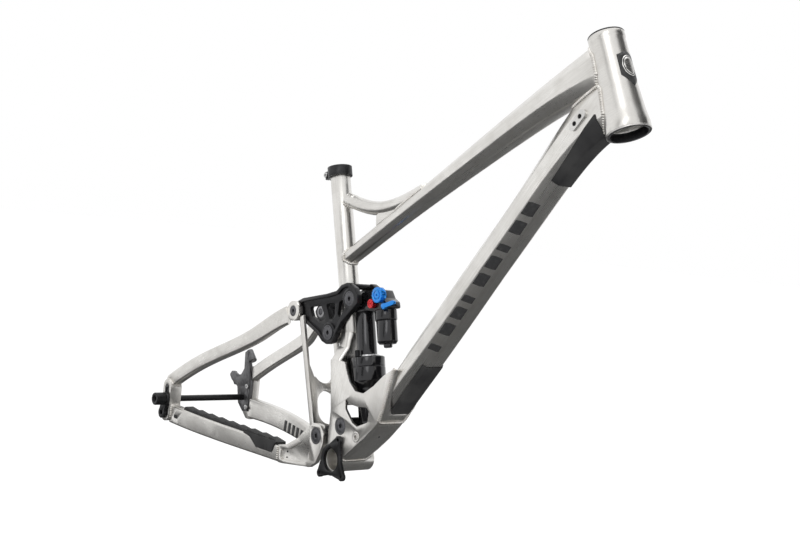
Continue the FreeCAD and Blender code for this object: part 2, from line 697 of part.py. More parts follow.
# ---- rear triangle -------------------------------------------------------------------------
SEATSTAY_ROUTE = [
    (-478, 86, 48), (-437, 84, 73), (-375, 79, 107), (-275, 66, 154), (-228, 57, 180),
    (-190, 44, 209), (-166, 36.5, 224)]
DRIVE_CHAINSTAY_ROUTE = [
    (-457, 85, -8), (-380, 80, -10.5), (-300, 72, -12.5), (-220, 62, -14), (-160, 56, -15),
    (-124, 55, -15)]
DRIVE_CHAINSTAY_HALF_HEIGHTS = [17.5, 17.5, 17.0, 16.5, 15.5, 15.0]
LEFT_CHAINSTAY_ROUTE = [
    (-452, 84, 1), (-380, 80, 3), (-300, 72, 2.5), (-220, 62, -3), (-160, 56, -11),
    (-124, 55, -15)]
LEFT_CHAINSTAY_HALF_HEIGHTS = [20.5, 19.0, 18.5, 17.5, 16.5, 15.0]


def seatstay_left():
    """Left seatstay with its pivot lug; the beam is cut where the dropout sits."""
    beam = stay(SEATSTAY_ROUTE, [13, 13, 13, 13, 13.5, 14.5, 16], [8.5] * 5 + [6.5, 4.4],
                hollow=(-440, -200))
    lug = pin(PIVOT_A, 17.4, LUG_IN, LUG_OUT)
    clear = pin(PIVOT_A, 18.6, 0, LUG_IN)
    body = beam.cut(clear).fuse(lug)
    body = body.cut([pin(PIVOT_A, 6.0, 0, 60), pin(PIVOT_A, 9.6, LUG_OUT - 4, 60)])
    return body.removeSplitter()


def seatstay_drive_blank():
    return mirrored(seatstay_left())


def chainstay_beam(route, half_heights):
    return stay(route, half_heights, [9.0, 9.0, 9.0, 9.0, 9.0, 8.6], hollow=(-420, -130))


def chainstay_left():
    beam = chainstay_beam(LEFT_CHAINSTAY_ROUTE, LEFT_CHAINSTAY_HALF_HEIGHTS)
    return beam.cut([behind_left_stays(), yoke_left()])


def drive_chainstay_beam():
    return mirrored(chainstay_beam(DRIVE_CHAINSTAY_ROUTE, DRIVE_CHAINSTAY_HALF_HEIGHTS))


def chainstay_drive():
    return drive_chainstay_beam().cut([drive_dropout_blank(), port_plug_solid(0.0)])


YOKE_SIDE = [
    (-124, 0), (-104, 5), (-86, 20), (-71.5, 42), (-58, 51), (-40, 51), (-28.5, 38), (-28, 20),
    (-34, 4), (-44, -15), (-62, -27), (-124, -30)]
YOKE_PLAN = [(-124, 64), (-108, 62), (-84, 49), (-68, LUG_OUT), (-20, LUG_OUT), (-20, LUG_IN),
             (-78, LUG_IN), (-100, 37), (-124, 46)]


def yoke_left():
    """Forged chainstay front end: deep boot with a side pocket, up to the pivot lug."""
    side = plate(YOKE_SIDE, 0, 90, 6.0)
    corners = [V(x, y, -80) for x, y in YOKE_PLAN]
    plan = Part.Face(Part.makePolygon(corners + corners[:1])).extrude(V(0, 0, 200))
    body = side.common(plan)
    pocket = plate([(-116, -6), (-98, -2), (-80, 14), (-66, 10), (-62, -14), (-72, -21),
                    (-116, -23)], 0, 90, 4.0)
    shift = [V(x, y - 4.0 if y > LUG_IN + 6 else y - 60, -80) for x, y in YOKE_PLAN]
    floor = Part.Face(Part.makePolygon(shift + shift[:1])).extrude(V(0, 0, 200))
    body = body.cut(pocket.cut(floor))
    body = body.cut([pin(PIVOT_E, 7.5, 0, 60), pin(PIVOT_E, 14.5, LUG_OUT - 4.2, 60)])
    return body.removeSplitter()


def yoke_drive():
    return mirrored(yoke_left())


WEB_TOP, WEB_FOOT = (-125.6, 228.5), (-62.2, 35.0)      # front face of the brace plate
WEB_HALF_TOP, WEB_HALF_FOOT = 37.5, 35.0
WEB_THICK = 11.0
WEB_WINDOWS = ((300.0, 137.0, 24.5), (81.0, 67.0, 22.0))    # end centres' heights, half width
WEB_NOTCH = 139.0                    # above this height the plate is open for the rocker


def front_brace():
    """Transverse plate that ties the pivots together, with two windows.

    The upper window runs out through the top, where the rocker's arms pass at full travel.
    """
    down = (pt(WEB_FOOT) - pt(WEB_TOP)).normalize()
    length = (pt(WEB_FOOT) - pt(WEB_TOP)).Length
    back = V(down.z, 0, -down.x)

    def at(t, y):
        return pt(WEB_TOP) + down * t + Y * y

    def station(z):
        return (WEB_TOP[1] - z) / (WEB_TOP[1] - WEB_FOOT[1]) * length

    corners = [at(0, -WEB_HALF_TOP), at(length, -WEB_HALF_FOOT), at(length, WEB_HALF_FOOT),
               at(0, WEB_HALF_TOP)]
    body = Part.Face(rounded_wire(corners, 3.0)).extrude(back * WEB_THICK)
    for high, low, width in WEB_WINDOWS:
        ends = [at(station(z), 0) for z in (high, low)]
        rim = [cyl(width, p - back * 2, p + back * (WEB_THICK + 2)) for p in ends]
        flat = [at(station(high), -width), at(station(low), -width),
                at(station(low), width), at(station(high), width)]
        slot = Part.Face(Part.makePolygon(flat + flat[:1])).extrude(back * (WEB_THICK + 4))
        slot.translate(back * -2)
        body = body.cut(rim + [slot])
    flare = [at(station(WEB_NOTCH - 14), 24.0), at(station(WEB_NOTCH + 6), LUG_IN),
             at(-30, LUG_IN), at(-30, -LUG_IN), at(station(WEB_NOTCH + 6), -LUG_IN),
             at(station(WEB_NOTCH - 14), -24.0)]
    notch = Part.Face(Part.makePolygon(flare + flare[:1])).extrude(back * (WEB_THICK + 4))
    notch.translate(back * -2)
    link_room = pin(PIVOT_E, 17.0, -LUG_IN, LUG_IN)
    neighbours = [yoke_left(), yoke_drive(), seatstay_left(), mirrored(seatstay_left())]
    return largest(body.cut([notch, link_room] + neighbours))


def drive_dropout_blank():
    x, z = REAR_AXLE
    return capsule((x - 3, z - 29), (x - 3, z + 23), 14.5, -DROPOUT_OUT, -HUB_HALF)


INSERT_HALF = 23.5
INSERT_R = 8.0
INSERT_DEPTH = 4.0
KEEPER_R = 9.0


def insert_solid(radius):
    x, z = REAR_AXLE
    return capsule((x - 3, z - 3 - INSERT_HALF), (x - 3, z - 3 + INSERT_HALF), radius,
                   -DROPOUT_OUT, -DROPOUT_OUT + INSERT_DEPTH)


def dropout_drive():
    pockets = [insert_solid(INSERT_R), hub_keeper_solid(KEEPER_R), pin(REAR_AXLE, 6.0, -120, 0)]
    return drive_dropout_blank().cut(pockets)


def hub_keeper_solid(radius):
    x, z = REAR_AXLE
    return capsule((x + 2, z - 2), (x + 2, z + 12), radius, -HUB_HALF - 3.0, -HUB_HALF)


def dropout_keepers():
    """Black keepers let into the drive dropout: slotted outside, plain where the hub sits."""
    body = insert_solid(INSERT_R).cut(pin(REAR_AXLE, 6.0, -120, 0))
    hub_seat = hub_keeper_solid(KEEPER_R).cut(pin(REAR_AXLE, 6.0, -120, 0))
    x, z = REAR_AXLE
    slot = capsule((x - 3, z - 24), (x - 3, z - 13), 3.0, -DROPOUT_OUT - 1, -DROPOUT_OUT + 1.5)
    slot2 = capsule((x - 3, z + 8), (x - 3, z + 19), 3.0, -DROPOUT_OUT - 1, -DROPOUT_OUT + 1.5)
    return Part.makeCompound([body.cut([slot, slot2]), hub_seat])


LEFT_STAY_END = REAR_AXLE[0] + 26.4      # where both left stays meet the dropout


def behind_left_stays():
    return Part.makeBox(100, 100, 200, V(LEFT_STAY_END - 100, 50, -60))


def left_dropout_blank():
    x, z = REAR_AXLE
    outline = [(x - 15, z - 22), (x + 8, z - 42), (LEFT_STAY_END, z - 42),
               (LEFT_STAY_END, z + 67), (x + 6, z + 64), (x - 15, z + 22)]
    return plate(outline, HUB_HALF + 7, 95.5, 5.0)


def dropout_left():
    return left_dropout_blank().cut([pin(REAR_AXLE, 6.0, 0, 120)]
                                    + [pin(p, 2.5, 0, 120) for p in BRAKE_BOLTS])


BRAKE_BOLTS = [(-449.5, 44.0), (-446.5, 2.0)]
POST_CENTRE = (-489.0, 84.0)
POST_DIRECTION = polar(46)           # along the line of the two caliper posts
POST_SPACING = 74.0


def post(sign):
    p = pt(POST_CENTRE) + POST_DIRECTION * (sign * POST_SPACING / 2)
    return (p.x, p.z)


def brake_mount():
    """Plate on the inside of the left dropout that carries the two caliper posts."""
    upper, lower = post(1), post(-1)
    outline = [(-443, -6), (-440, 20), (-441, 62), (upper[0] + 7, upper[1] - 6),
               (upper[0] + 6, upper[1] + 4), (upper[0] - 7, upper[1] + 1), (-468, 78),
               (-478, 64), (-494, 61), (lower[0] + 2, lower[1] + 9), (lower[0] - 6, lower[1]),
               (lower[0] + 3, lower[1] - 9), (-488, 38), (-480, 6), (-462, -8)]
    body = plate(outline, HUB_HALF, HUB_HALF + 7, 2.5)
    axis = across(POST_DIRECTION)
    y = HUB_HALF + 7.5
    for sign in (1, -1):
        face = pt(post(sign), y) + axis * 4
        body = body.fuse(cyl(7.5, face - axis * 24, face))
    for sign in (1, -1):
        face = pt(post(sign), y) + axis * 4
        body = body.cut(cyl(2.5, face - axis * 16, face + axis))
    body = body.cut(Part.makeBox(120, 20, 200, V(-560, HUB_HALF - 20, -50)))
    body = body.cut(left_dropout_blank())
    return body.cut([pin(REAR_AXLE, 6.0, 0, 120)]
                    + [pin(p, 2.5, 0, 120) for p in BRAKE_BOLTS]).removeSplitter()


def brake_mount_bolts():
    bolts = []
    for p in BRAKE_BOLTS:
        bolt = pin(p, 2.5, HUB_HALF, HUB_HALF + 18).fuse(pin(p, 4.8, HUB_HALF - 3.2, HUB_HALF))
        bolts.append(bolt.cut(hex_socket(p, 2.4, HUB_HALF - 3.2, HUB_HALF - 1)).removeSplitter())
    return Part.makeCompound(bolts)


HANGER_HOLE = (REAR_AXLE[0] - 7.0, REAR_AXLE[1] - 28.0)


def derailleur_hanger():
    y0, y1 = -DROPOUT_OUT - 6.3, -DROPOUT_OUT - 0.3
    body = pin(REAR_AXLE, 13.0, y0, y1)
    body = body.fuse([capsule(REAR_AXLE, HANGER_HOLE, 9.5, y0, y1), pin(HANGER_HOLE, 11.0, y0, y1)])
    return body.cut([pin(REAR_AXLE, 6.0, -200, 0), pin(HANGER_HOLE, 4.5, -200, 0)]).removeSplitter()


def rear_axle():
    """12 mm through axle with a long socket head on the drive side."""
    face = -DROPOUT_OUT - 27.0
    shaft = pin(REAR_AXLE, 6.0, face + 10, 93)
    head = pin(REAR_AXLE, 12.0, face, -DROPOUT_OUT - 6.5)
    head = softened(head, 1.5, long_edges_over=60)
    bore = pin(REAR_AXLE, 6.4, face - 1, face + 2.0)
    axle = shaft.fuse(head).cut([bore, hex_socket(REAR_AXLE, 4.6, face, face + 8)])
    return axle.cut(pin(REAR_AXLE, 4.0, -60, 94)).removeSplitter()


def rear_pivot_bolts():
    """Short bolts that hold the seatstay lugs to the rocker."""
    bolt = pin(PIVOT_A, 6.0, ROCKER_IN + 0.5, LUG_OUT - 4)
    head = pin(PIVOT_A, 9.5, LUG_OUT - 4, LUG_OUT - 0.3)
    bolt = bolt.fuse(head).cut(hex_socket(PIVOT_A, 3.6, LUG_OUT - 3.5, LUG_OUT))
    return both_sides(bolt.removeSplitter())


def chainstay_pivot_axle():
    return flush_axle(PIVOT_E, 7.5, 14.3, LUG_OUT - 0.1, 4.0)


PROTECTOR_TEETH = 9


def chainstay_protector():
    """Ribbed rubber cover: saw teeth on top of the drive chainstay, a flap down its side."""
    start, end = -412.0, -128.0
    pitch = (end - start) / PROTECTOR_TEETH

    def top(x):
        return 8.4 - 8.2 * (x + 440) / 312.0

    teeth = []
    for i in range(PROTECTOR_TEETH):
        x = start + i * pitch
        teeth += [(x, top(x) + 1.6), (x + 4, top(x + 4) + 6.6),
                  (x + pitch - 1, top(x + pitch) + 3.4)]
    outline = teeth + [(end, top(end) - 8), (start, top(start) - 8)]
    strip = plate(outline, -100, -30)
    route = [V(x, -y, -200) for x, y, z in DRIVE_CHAINSTAY_ROUTE]
    left = offset_points(route, [10.4] * 6, Z)
    right = offset_points(route, [-6.5] * 6, Z)
    strip = strip.common(band(left, right).extrude(V(0, 0, 400)))
    flap = plate([(-236, 4), (-206, -2), (-186, -17), (-142, -17), (-134, 0), (-128, 4)], -100, -30, 3)
    outside = offset_points(route, [-10.4] * 6, Z)
    inside = offset_points(route, [-6.5] * 6, Z)
    flap = flap.common(band(outside, inside).extrude(V(0, 0, 400)))
    return strip.fuse(flap).cut([drive_chainstay_beam(), yoke_drive()]).removeSplitter()


PORT_PLUG_X = -434.0


def port_plug_solid(proud):
    x = PORT_PLUG_X
    return capsule((x - 4, -10), (x + 4, -10.3), 3.4, -97.0 - proud, -90.0)


def chainstay_port_plug():
    """Rubber plug in the cable port near the rear end of the drive chainstay."""
    return port_plug_solid(0.0).common(drive_chainstay_beam())


def seatstay_drive():
    return seatstay_drive_blank().cut(drive_dropout_blank())


def seatstay_left_final():
    return seatstay_left().cut(behind_left_stays())


# ---- shock, lower half ---------------------------------------------------------------------
CAN_TOP, CAN_STEP, CAN_FOOT = 98.0, 146.0, 205.0
CAN_R, SLEEVE_R, CAN_BORE_R = 29.0, 21.5, 19.3
BODY_R, BODY_BORE_R = 17.0, 13.0
BODY_TOP, BODY_FOOT = 22.0, 143.0
SHAFT_R = 6.0
EYE_HALF = 12.0


def shock_turned(profile):
    return revolved_on(pt(PIVOT_C), SHOCK_AXIS, SHOCK_FRONT, profile)


def shock_air_can():
    """Air can: fat upper sleeve over a slimmer lower barrel, with the valve boss."""
    shell = shock_turned([
        (CAN_TOP, BODY_R + 2.2), (CAN_TOP, CAN_R - 1.5), (CAN_TOP + 1.5, CAN_R),
        (CAN_TOP + 16, CAN_R), (CAN_TOP + 17, CAN_R - 0.8), (CAN_TOP + 18, CAN_R),
        (CAN_STEP - 8, CAN_R), (CAN_STEP + 2, SLEEVE_R + 1.0), (CAN_STEP + 5, SLEEVE_R),
        (CAN_FOOT, SLEEVE_R), (CAN_FOOT, CAN_BORE_R), (CAN_TOP + 6, CAN_BORE_R),
        (CAN_TOP + 6, BODY_R + 2.2)])
    boss = cyl(4.6, on_shock(CAN_TOP + 1, 5, -25), on_shock(CAN_TOP + 27, 5, -25))
    core = shock_turned([(CAN_TOP - 1, 0), (CAN_TOP - 1, 23.0), (CAN_FOOT, 23.0), (CAN_FOOT, 0)])
    return shell.fuse(boss.cut(core)).removeSplitter()


def air_can_seal_ring():
    return shock_turned([(CAN_TOP - 3, BODY_R + RUN), (CAN_TOP - 3, 20.0), (CAN_TOP - 2.2, 20.8),
                         (CAN_TOP, 20.8), (CAN_TOP, BODY_R + 2.2), (CAN_TOP + 6, BODY_R + 2.2),
                         (CAN_TOP + 6, BODY_R + RUN)])


def air_valve_cap():
    cap = cyl(4.2, on_shock(CAN_TOP - 11, 5, -25), on_shock(CAN_TOP, 5, -25))
    return softened(cap, 1.0, long_edges_over=20)


def shock_lower_eyelet():
    """End cap of the air can, with the lower eye and its bushing bore."""
    plug = shock_turned([(CAN_FOOT, 0), (CAN_FOOT, SLEEVE_R), (CAN_FOOT + 3, SLEEVE_R),
                         (CAN_FOOT + 9, 14.0), (SHOCK_LENGTH, 12.0), (SHOCK_LENGTH, 0)])
    eye = pin(PIVOT_F, 13.0, -EYE_HALF, EYE_HALF)
    slab = plate([(p.x, p.z) for p in (on_shock(200, -30), on_shock(200, 30), on_shock(250, 30),
                                       on_shock(250, -30))], -EYE_HALF, EYE_HALF)
    foot = plug.common(slab.fuse(shock_turned([(CAN_FOOT, 0), (CAN_FOOT, 40), (CAN_FOOT + 4, 40),
                                               (CAN_FOOT + 4, 0)])))
    return foot.fuse(eye).cut(pin(PIVOT_F, 6.0 + RUN, -30, 30)).removeSplitter()


def damper_shaft():
    """Shaft from the lower eye up into the damper body, with its piston."""
    return shock_turned([(96, 0), (96, BODY_BORE_R - RUN), (106, BODY_BORE_R - RUN),
                         (106, SHAFT_R), (CAN_FOOT, SHAFT_R), (CAN_FOOT, 0)])


# ---- shock, upper half ---------------------------------------------------------------------
RESERVOIR_FRONT = 56.0
RESERVOIR_R = 17.0
BLUE_DIAL = (66.0, 4.0)              # in front of the shock axis, and down from the eye
RED_DIAL = (45.0, 15.0)
LEVER = (75.0, 23.5)


def shock_point(place):
    p = on_shock(place[1], place[0])
    return (p.x, p.z)


def damper_body():
    """Tube that slides into the air can; closed at its foot by the air piston."""
    return shock_turned([(BODY_TOP, 0), (BODY_TOP, BODY_R), (BODY_FOOT, BODY_R),
                         (BODY_FOOT, SHAFT_R + RUN), (BODY_FOOT - 8, SHAFT_R + RUN),
                         (BODY_FOOT - 8, BODY_BORE_R), (BODY_TOP + 6, BODY_BORE_R),
                         (BODY_TOP + 6, 0)])


def air_piston():
    return shock_turned([(BODY_FOOT - 9, BODY_R), (BODY_FOOT - 9, CAN_BORE_R - RUN),
                         (BODY_FOOT - 1, CAN_BORE_R - RUN), (BODY_FOOT - 1, BODY_R)])


def shock_head():
    """Forged head: upper eye, neck over the damper body, and the arm out to the reservoir."""
    neck = shock_turned([(4, 0), (4, 12.0), (12, 16.4), (BODY_TOP, 17.2), (BODY_TOP, 0)])
    eye = pin(PIVOT_C, 13.6, -EYE_HALF, EYE_HALF)
    arm_side = [on_shock(-8, 6), on_shock(-9, 50), on_shock(-6, 60), on_shock(8, 66),
                on_shock(16, 76), on_shock(26, 77), on_shock(26, 40), on_shock(22, 18),
                on_shock(20, 0), on_shock(0, 0)]
    arm = Part.Face(rounded_wire([p - Y * 15 for p in arm_side], 3.0)).extrude(Y * 30)
    head = neck.common(plate([(p.x, p.z) for p in (on_shock(0, -40), on_shock(0, 40),
                                                   on_shock(30, 40), on_shock(30, -40))],
                             -18.4, 18.4)).fuse([eye, arm])
    spacer_room = both_sides(pin(PIVOT_C, 18.6, EYE_HALF, 30))
    return head.cut([pin(PIVOT_C, 7.0 + OPEN_PIVOT_GAP, -30, 30), spacer_room]).removeSplitter()


def reservoir_turned(profile):
    return revolved_on(on_shock(0, RESERVOIR_FRONT), SHOCK_AXIS, SHOCK_FRONT, profile)


def reservoir_cap():
    return reservoir_turned([(26, 0), (26, 17.0), (27.5, 18.5), (43, 18.5), (45, RESERVOIR_R),
                             (45, 0)])


def shock_reservoir():
    """Gas reservoir with the filler boss at its foot."""
    return reservoir_turned([(45, 0), (45, RESERVOIR_R), (79, RESERVOIR_R), (83, 14.0), (83, 7.5),
                             (88, 7.0), (89, 6.0), (89, 0)])


def knob(side_point, radius, y_face, depth, flutes):
    """Fluted dial whose outer face looks out on the drive side."""
    body = pin(side_point, radius, y_face, y_face + depth)
    cuts = []
    for i in range(flutes):
        arm = polar(360.0 * i / flutes) * (radius + 0.7)
        cuts.append(pin((side_point[0] + arm.x, side_point[1] + arm.z), 1.5,
                        y_face - 1, y_face + depth * 0.6))
    body = body.cut(cuts)
    inner = ring(side_point, radius * 0.62, radius * 0.5, y_face - 1, y_face + 0.8)
    return body.cut([inner, hex_socket(side_point, 1.8, y_face - 1, y_face + 2.5)])


def compression_dial():
    return knob(shock_point(BLUE_DIAL), 13.0, -25.0, 9.7, 16)


def rebound_dial():
    return knob(shock_point(RED_DIAL), 7.6, -23.0, 7.7, 10)


def climb_lever():
    """Two-position lever on the drive side of the head, below the compression dial."""
    hub = shock_point(LEVER)
    tip = shock_point((LEVER[0] + 24, LEVER[1] - 2))
    body = pin(hub, 5.2, -21.3, -15.3).fuse(capsule(hub, tip, 3.6, -21.3, -16.3))
    return body.removeSplitter()


# ---- build ---------------------------------------------------------------------------------
PARTS = {
    "head_tube": head_tube,
    "upper_headset_cup": upper_headset_cup,
    "lower_headset_cup": lower_headset_cup,
    "top_tube": top_tube,
    "down_tube": down_tube,
    "seat_tube": seat_tube,
    "seat_tube_brace": seat_tube_brace,
    "seat_clamp": seat_clamp,
    "seat_clamp_bolt": seat_clamp_bolt,
    "lower_down_tube_guard": lower_down_tube_guard,
    "upper_down_tube_guard": upper_down_tube_guard,
    "cable_port_insert": cable_port_insert,
    "bottom_bracket_shell": bottom_bracket_shell,
    "cage_left_wall": cage_left_wall,
    "cage_drive_wall": cage_drive_wall,
    "cage_floor": cage_floor,
    "seat_tube_lug": seat_tube_lug,
    "chain_guide_mount": chain_guide_mount,
    "lower_link_axle": lower_link_axle,
    "rocker_axle": rocker_axle,
    "shock_lower_bolt": shock_lower_bolt,
    "rocker_left_plate": rocker_left_plate,
    "rocker_drive_plate": rocker_drive_plate,
    "rocker_bridge": rocker_bridge,
    "rocker_bearings": rocker_bearings,
    "shock_upper_bolt": shock_upper_bolt,
    "shock_upper_spacers": shock_upper_spacers,
    "lower_link": lower_link,
    "lower_link_bearings": lower_link_bearings,
    "seatstay_left": seatstay_left_final,
    "seatstay_drive": seatstay_drive,
    "chainstay_left": chainstay_left,
    "chainstay_drive": chainstay_drive,
    "yoke_left": yoke_left,
    "yoke_drive": yoke_drive,
    "front_brace": front_brace,
    "dropout_left": dropout_left,
    "dropout_drive": dropout_drive,
    "dropout_keepers": dropout_keepers,
    "brake_mount": brake_mount,
    "brake_mount_bolts": brake_mount_bolts,
    "derailleur_hanger": derailleur_hanger,
    "rear_axle": rear_axle,
    "rear_pivot_bolts": rear_pivot_bolts,
    "chainstay_pivot_axle": chainstay_pivot_axle,
    "chainstay_protector": chainstay_protector,
    "chainstay_port_plug": chainstay_port_plug,
    "shock_air_can": shock_air_can,
    "air_can_seal_ring": air_can_seal_ring,
    "air_valve_cap": air_valve_cap,
    "shock_lower_eyelet": shock_lower_eyelet,
    "damper_shaft": damper_shaft,
    "damper_body": damper_body,
    "air_piston": air_piston,
    "shock_head": shock_head,
    "shock_reservoir": shock_reservoir,
    "reservoir_cap": reservoir_cap,
    "compression_dial": compression_dial,
    "rebound_dial": rebound_dial,
    "climb_lever": climb_lever,
}


def main():
    os.makedirs("parts", exist_ok=True)
    for name, make in PARTS.items():
        shape = make()
        solids = len(shape.Solids)
        print("%-26s solids %d  volume %.0f  valid %s" % (name, solids, shape.Volume, shape.isValid()))
        shape.exportStep("parts/%s.step" % name)


main()
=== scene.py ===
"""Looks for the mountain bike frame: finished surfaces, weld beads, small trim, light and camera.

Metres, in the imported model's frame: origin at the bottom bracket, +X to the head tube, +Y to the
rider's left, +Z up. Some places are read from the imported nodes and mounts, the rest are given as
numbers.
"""
import json
import math

import bmesh
import bpy
from mathutils import Matrix, Vector
from mathutils.bvhtree import BVHTree


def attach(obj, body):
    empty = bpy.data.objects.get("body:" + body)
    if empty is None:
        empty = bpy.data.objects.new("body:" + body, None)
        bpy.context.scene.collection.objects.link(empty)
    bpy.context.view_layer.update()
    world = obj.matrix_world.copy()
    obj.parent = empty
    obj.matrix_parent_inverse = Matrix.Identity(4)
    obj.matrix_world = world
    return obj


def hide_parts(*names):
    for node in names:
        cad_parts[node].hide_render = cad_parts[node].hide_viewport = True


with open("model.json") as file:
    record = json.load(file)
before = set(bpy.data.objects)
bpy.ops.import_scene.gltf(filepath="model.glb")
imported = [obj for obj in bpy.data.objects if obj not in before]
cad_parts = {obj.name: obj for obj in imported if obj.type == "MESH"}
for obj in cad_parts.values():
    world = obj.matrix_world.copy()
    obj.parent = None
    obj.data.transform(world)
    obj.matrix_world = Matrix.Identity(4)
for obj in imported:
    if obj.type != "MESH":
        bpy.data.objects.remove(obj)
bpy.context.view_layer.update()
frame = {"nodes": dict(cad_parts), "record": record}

MM = 0.001
NODES = frame["nodes"]
RECORD = frame["record"]
MOUNTS = {m["name"]: m for m in RECORD["mounts"]}
BODY_OF = {n: b for b, names in RECORD["behaviour"]["bodies"].items() for n in names}
SLOT_OF = {s["node"]: s["material_slot"] for s in RECORD["subparts"]}
SLOT_OF["climb_lever"] = "dial_blue"         # dyed like the dial above it

HEAD_UPPER = Vector(MOUNTS["upper_headset_bearing"]["pos_m"])
HEAD_LOWER = Vector(MOUNTS["lower_headset_bearing"]["pos_m"])
HEAD_AXIS = (HEAD_LOWER - HEAD_UPPER).normalized()
HEAD_FRONT = Vector((-HEAD_AXIS.z, 0, HEAD_AXIS.x))
LEFT = Vector((0, 1, 0))
DOWN_TUBE_SLOPE = 52.45              # degrees from level

# Slopes of the long members from level, in degrees, for the brushing to run along them.
SLOPE = {
    "top_tube": 31.2, "down_tube": 52.5, "seat_tube": 106.7, "seat_tube_brace": 8.0,
    "head_tube": 24.0, "seatstay_left": 30.0, "seatstay_drive": 30.0, "chainstay_left": -3.0,
    "chainstay_drive": -1.0, "cage_left_wall": 80.0, "cage_drive_wall": 80.0,
    "front_brace": 108.0, "seat_tube_lug": 100.0, "yoke_left": 30.0, "yoke_drive": 30.0,
}


# ---- materials -----------------------------------------------------------------------------
class Shader:
    """Small helper that builds one Principled material node by node."""

    def __init__(self, name, base, roughness, metallic=0.0, **constants):
        self.material = bpy.data.materials.new(name)
        self.material.use_nodes = True
        self.tree = self.material.node_tree
        self.bsdf = self.tree.nodes["Principled BSDF"]
        self.bsdf.inputs["Base Color"].default_value = (*base, 1)
        self.bsdf.inputs["Roughness"].default_value = roughness
        self.bsdf.inputs["Metallic"].default_value = metallic
        for socket, value in constants.items():
            self.bsdf.inputs[socket.replace("_", " ")].default_value = value
        self.place = self.add("ShaderNodeTexCoord").outputs["Object"]

    def add(self, kind, **settings):
        node = self.tree.nodes.new(kind)
        for key, value in settings.items():
            setattr(node, key, value)
        return node

    def link(self, a, b):
        self.tree.links.new(a, b)

    def stretched(self, slope_deg, scale):
        """Object coordinates turned so that X runs along a member, then scaled."""
        turn = self.add("ShaderNodeMapping")
        turn.inputs["Rotation"].default_value = (0, math.radians(slope_deg), 0)
        self.link(self.place, turn.inputs["Vector"])
        size = self.add("ShaderNodeMapping")
        size.inputs["Scale"].default_value = scale
        self.link(turn.outputs[0], size.inputs["Vector"])
        return size.outputs[0]

    def noise(self, scale, detail=3.0, vector=None, rough=0.5):
        node = self.add("ShaderNodeTexNoise")
        node.inputs["Scale"].default_value = scale
        node.inputs["Detail"].default_value = detail
        node.inputs["Roughness"].default_value = rough
        self.link(vector or self.place, node.inputs["Vector"])
        return node.outputs["Fac"]

    def ranged(self, value, low, high, from_low=0.3, from_high=0.7):
        node = self.add("ShaderNodeMapRange")
        node.inputs["From Min"].default_value = from_low
        node.inputs["From Max"].default_value = from_high
        node.inputs["To Min"].default_value = low
        node.inputs["To Max"].default_value = high
        self.link(value, node.inputs["Value"])
        return node.outputs[0]

    def mixed(self, factor, a, b):
        """Colour between a and b; each is a colour or an output."""
        node = self.add("ShaderNodeMix", data_type="RGBA")
        self.link(factor, node.inputs[0])
        for socket, value in ((node.inputs[6], a), (node.inputs[7], b)):
            if isinstance(value, tuple):
                socket.default_value = (*value, 1)
            else:
                self.link(value, socket)
        return node.outputs[2]

    def math(self, operation, a, b):
        node = self.add("ShaderNodeMath", operation=operation)
        for socket, value in zip(node.inputs, (a, b)):
            if isinstance(value, (int, float)):
                socket.default_value = value
            else:
                self.link(value, socket)
        return node.outputs[0]

    def colour(self, output):
        self.link(output, self.bsdf.inputs["Base Color"])

    def roughness(self, output):
        self.link(output, self.bsdf.inputs["Roughness"])

    def bump(self, height, strength, distance):
        node = self.add("ShaderNodeBump")
        node.inputs["Strength"].default_value = strength
        node.inputs["Distance"].default_value = distance
        self.link(height, node.inputs["Height"])
        previous = self.bsdf.inputs["Normal"].links
        if previous:
            self.link(previous[0].from_socket, node.inputs["Normal"])
        self.link(node.outputs[0], self.bsdf.inputs["Normal"])

    def worn_and_highlit_edges(self, base, edge, amount=0.55):
        """Lighter colour where the surface is sharply convex: partly handling wear, partly a
        painted edge highlight.
        """
        convex = self.add("ShaderNodeNewGeometry").outputs["Pointiness"]
        patchy = self.noise(160.0, 4.0)
        rise = self.ranged(convex, 0.0, amount, 0.53, 0.62)
        return self.mixed(self.math("MULTIPLY", rise, patchy), base, edge)


def raw_aluminium(name, slope):
    """Bare brushed aluminium under clear coat: fine scratches along the member, cloudy patina."""
    s = Shader(name, (0.74, 0.73, 0.70), 0.34, 1.0, Coat_Weight=0.35, Coat_Roughness=0.18)
    brushed = s.noise(1.0, 6.0, s.stretched(slope, (14, 900, 900)), 0.65)
    fine = s.noise(1.0, 3.0, s.stretched(slope, (60, 2600, 2600)), 0.6)
    cloud = s.noise(9.0, 3.0)
    grime = s.noise(55.0, 5.0)
    tone = s.mixed(s.ranged(cloud, 0, 1), (0.86, 0.845, 0.815), (0.70, 0.685, 0.655))
    tone = s.mixed(s.ranged(brushed, 0.0, 0.45), tone, (0.50, 0.485, 0.46))
    tone = s.mixed(s.ranged(grime, 0.0, 0.22, 0.45, 0.75), tone, (0.40, 0.375, 0.34))
    s.colour(tone)
    s.roughness(s.math("ADD", s.ranged(brushed, 0.24, 0.36), s.ranged(cloud, -0.03, 0.06)))
    s.bump(brushed, 0.22, 0.00014)
    s.bump(fine, 0.14, 0.00008)
    return s.material


def weld_metal():
    """As-laid weld: random brighter patches and a faint straw heat tint."""
    s = Shader("weld_metal", (0.76, 0.74, 0.70), 0.30, 1.0)
    patches = s.noise(70.0, 4.0)
    s.colour(s.mixed(s.ranged(patches, 0, 1), (0.82, 0.80, 0.77), (0.60, 0.57, 0.52)))
    s.roughness(s.ranged(s.noise(400.0, 3.0), 0.24, 0.42))
    s.bump(s.noise(900.0, 3.0), 0.12, 0.0001)
    return s.material


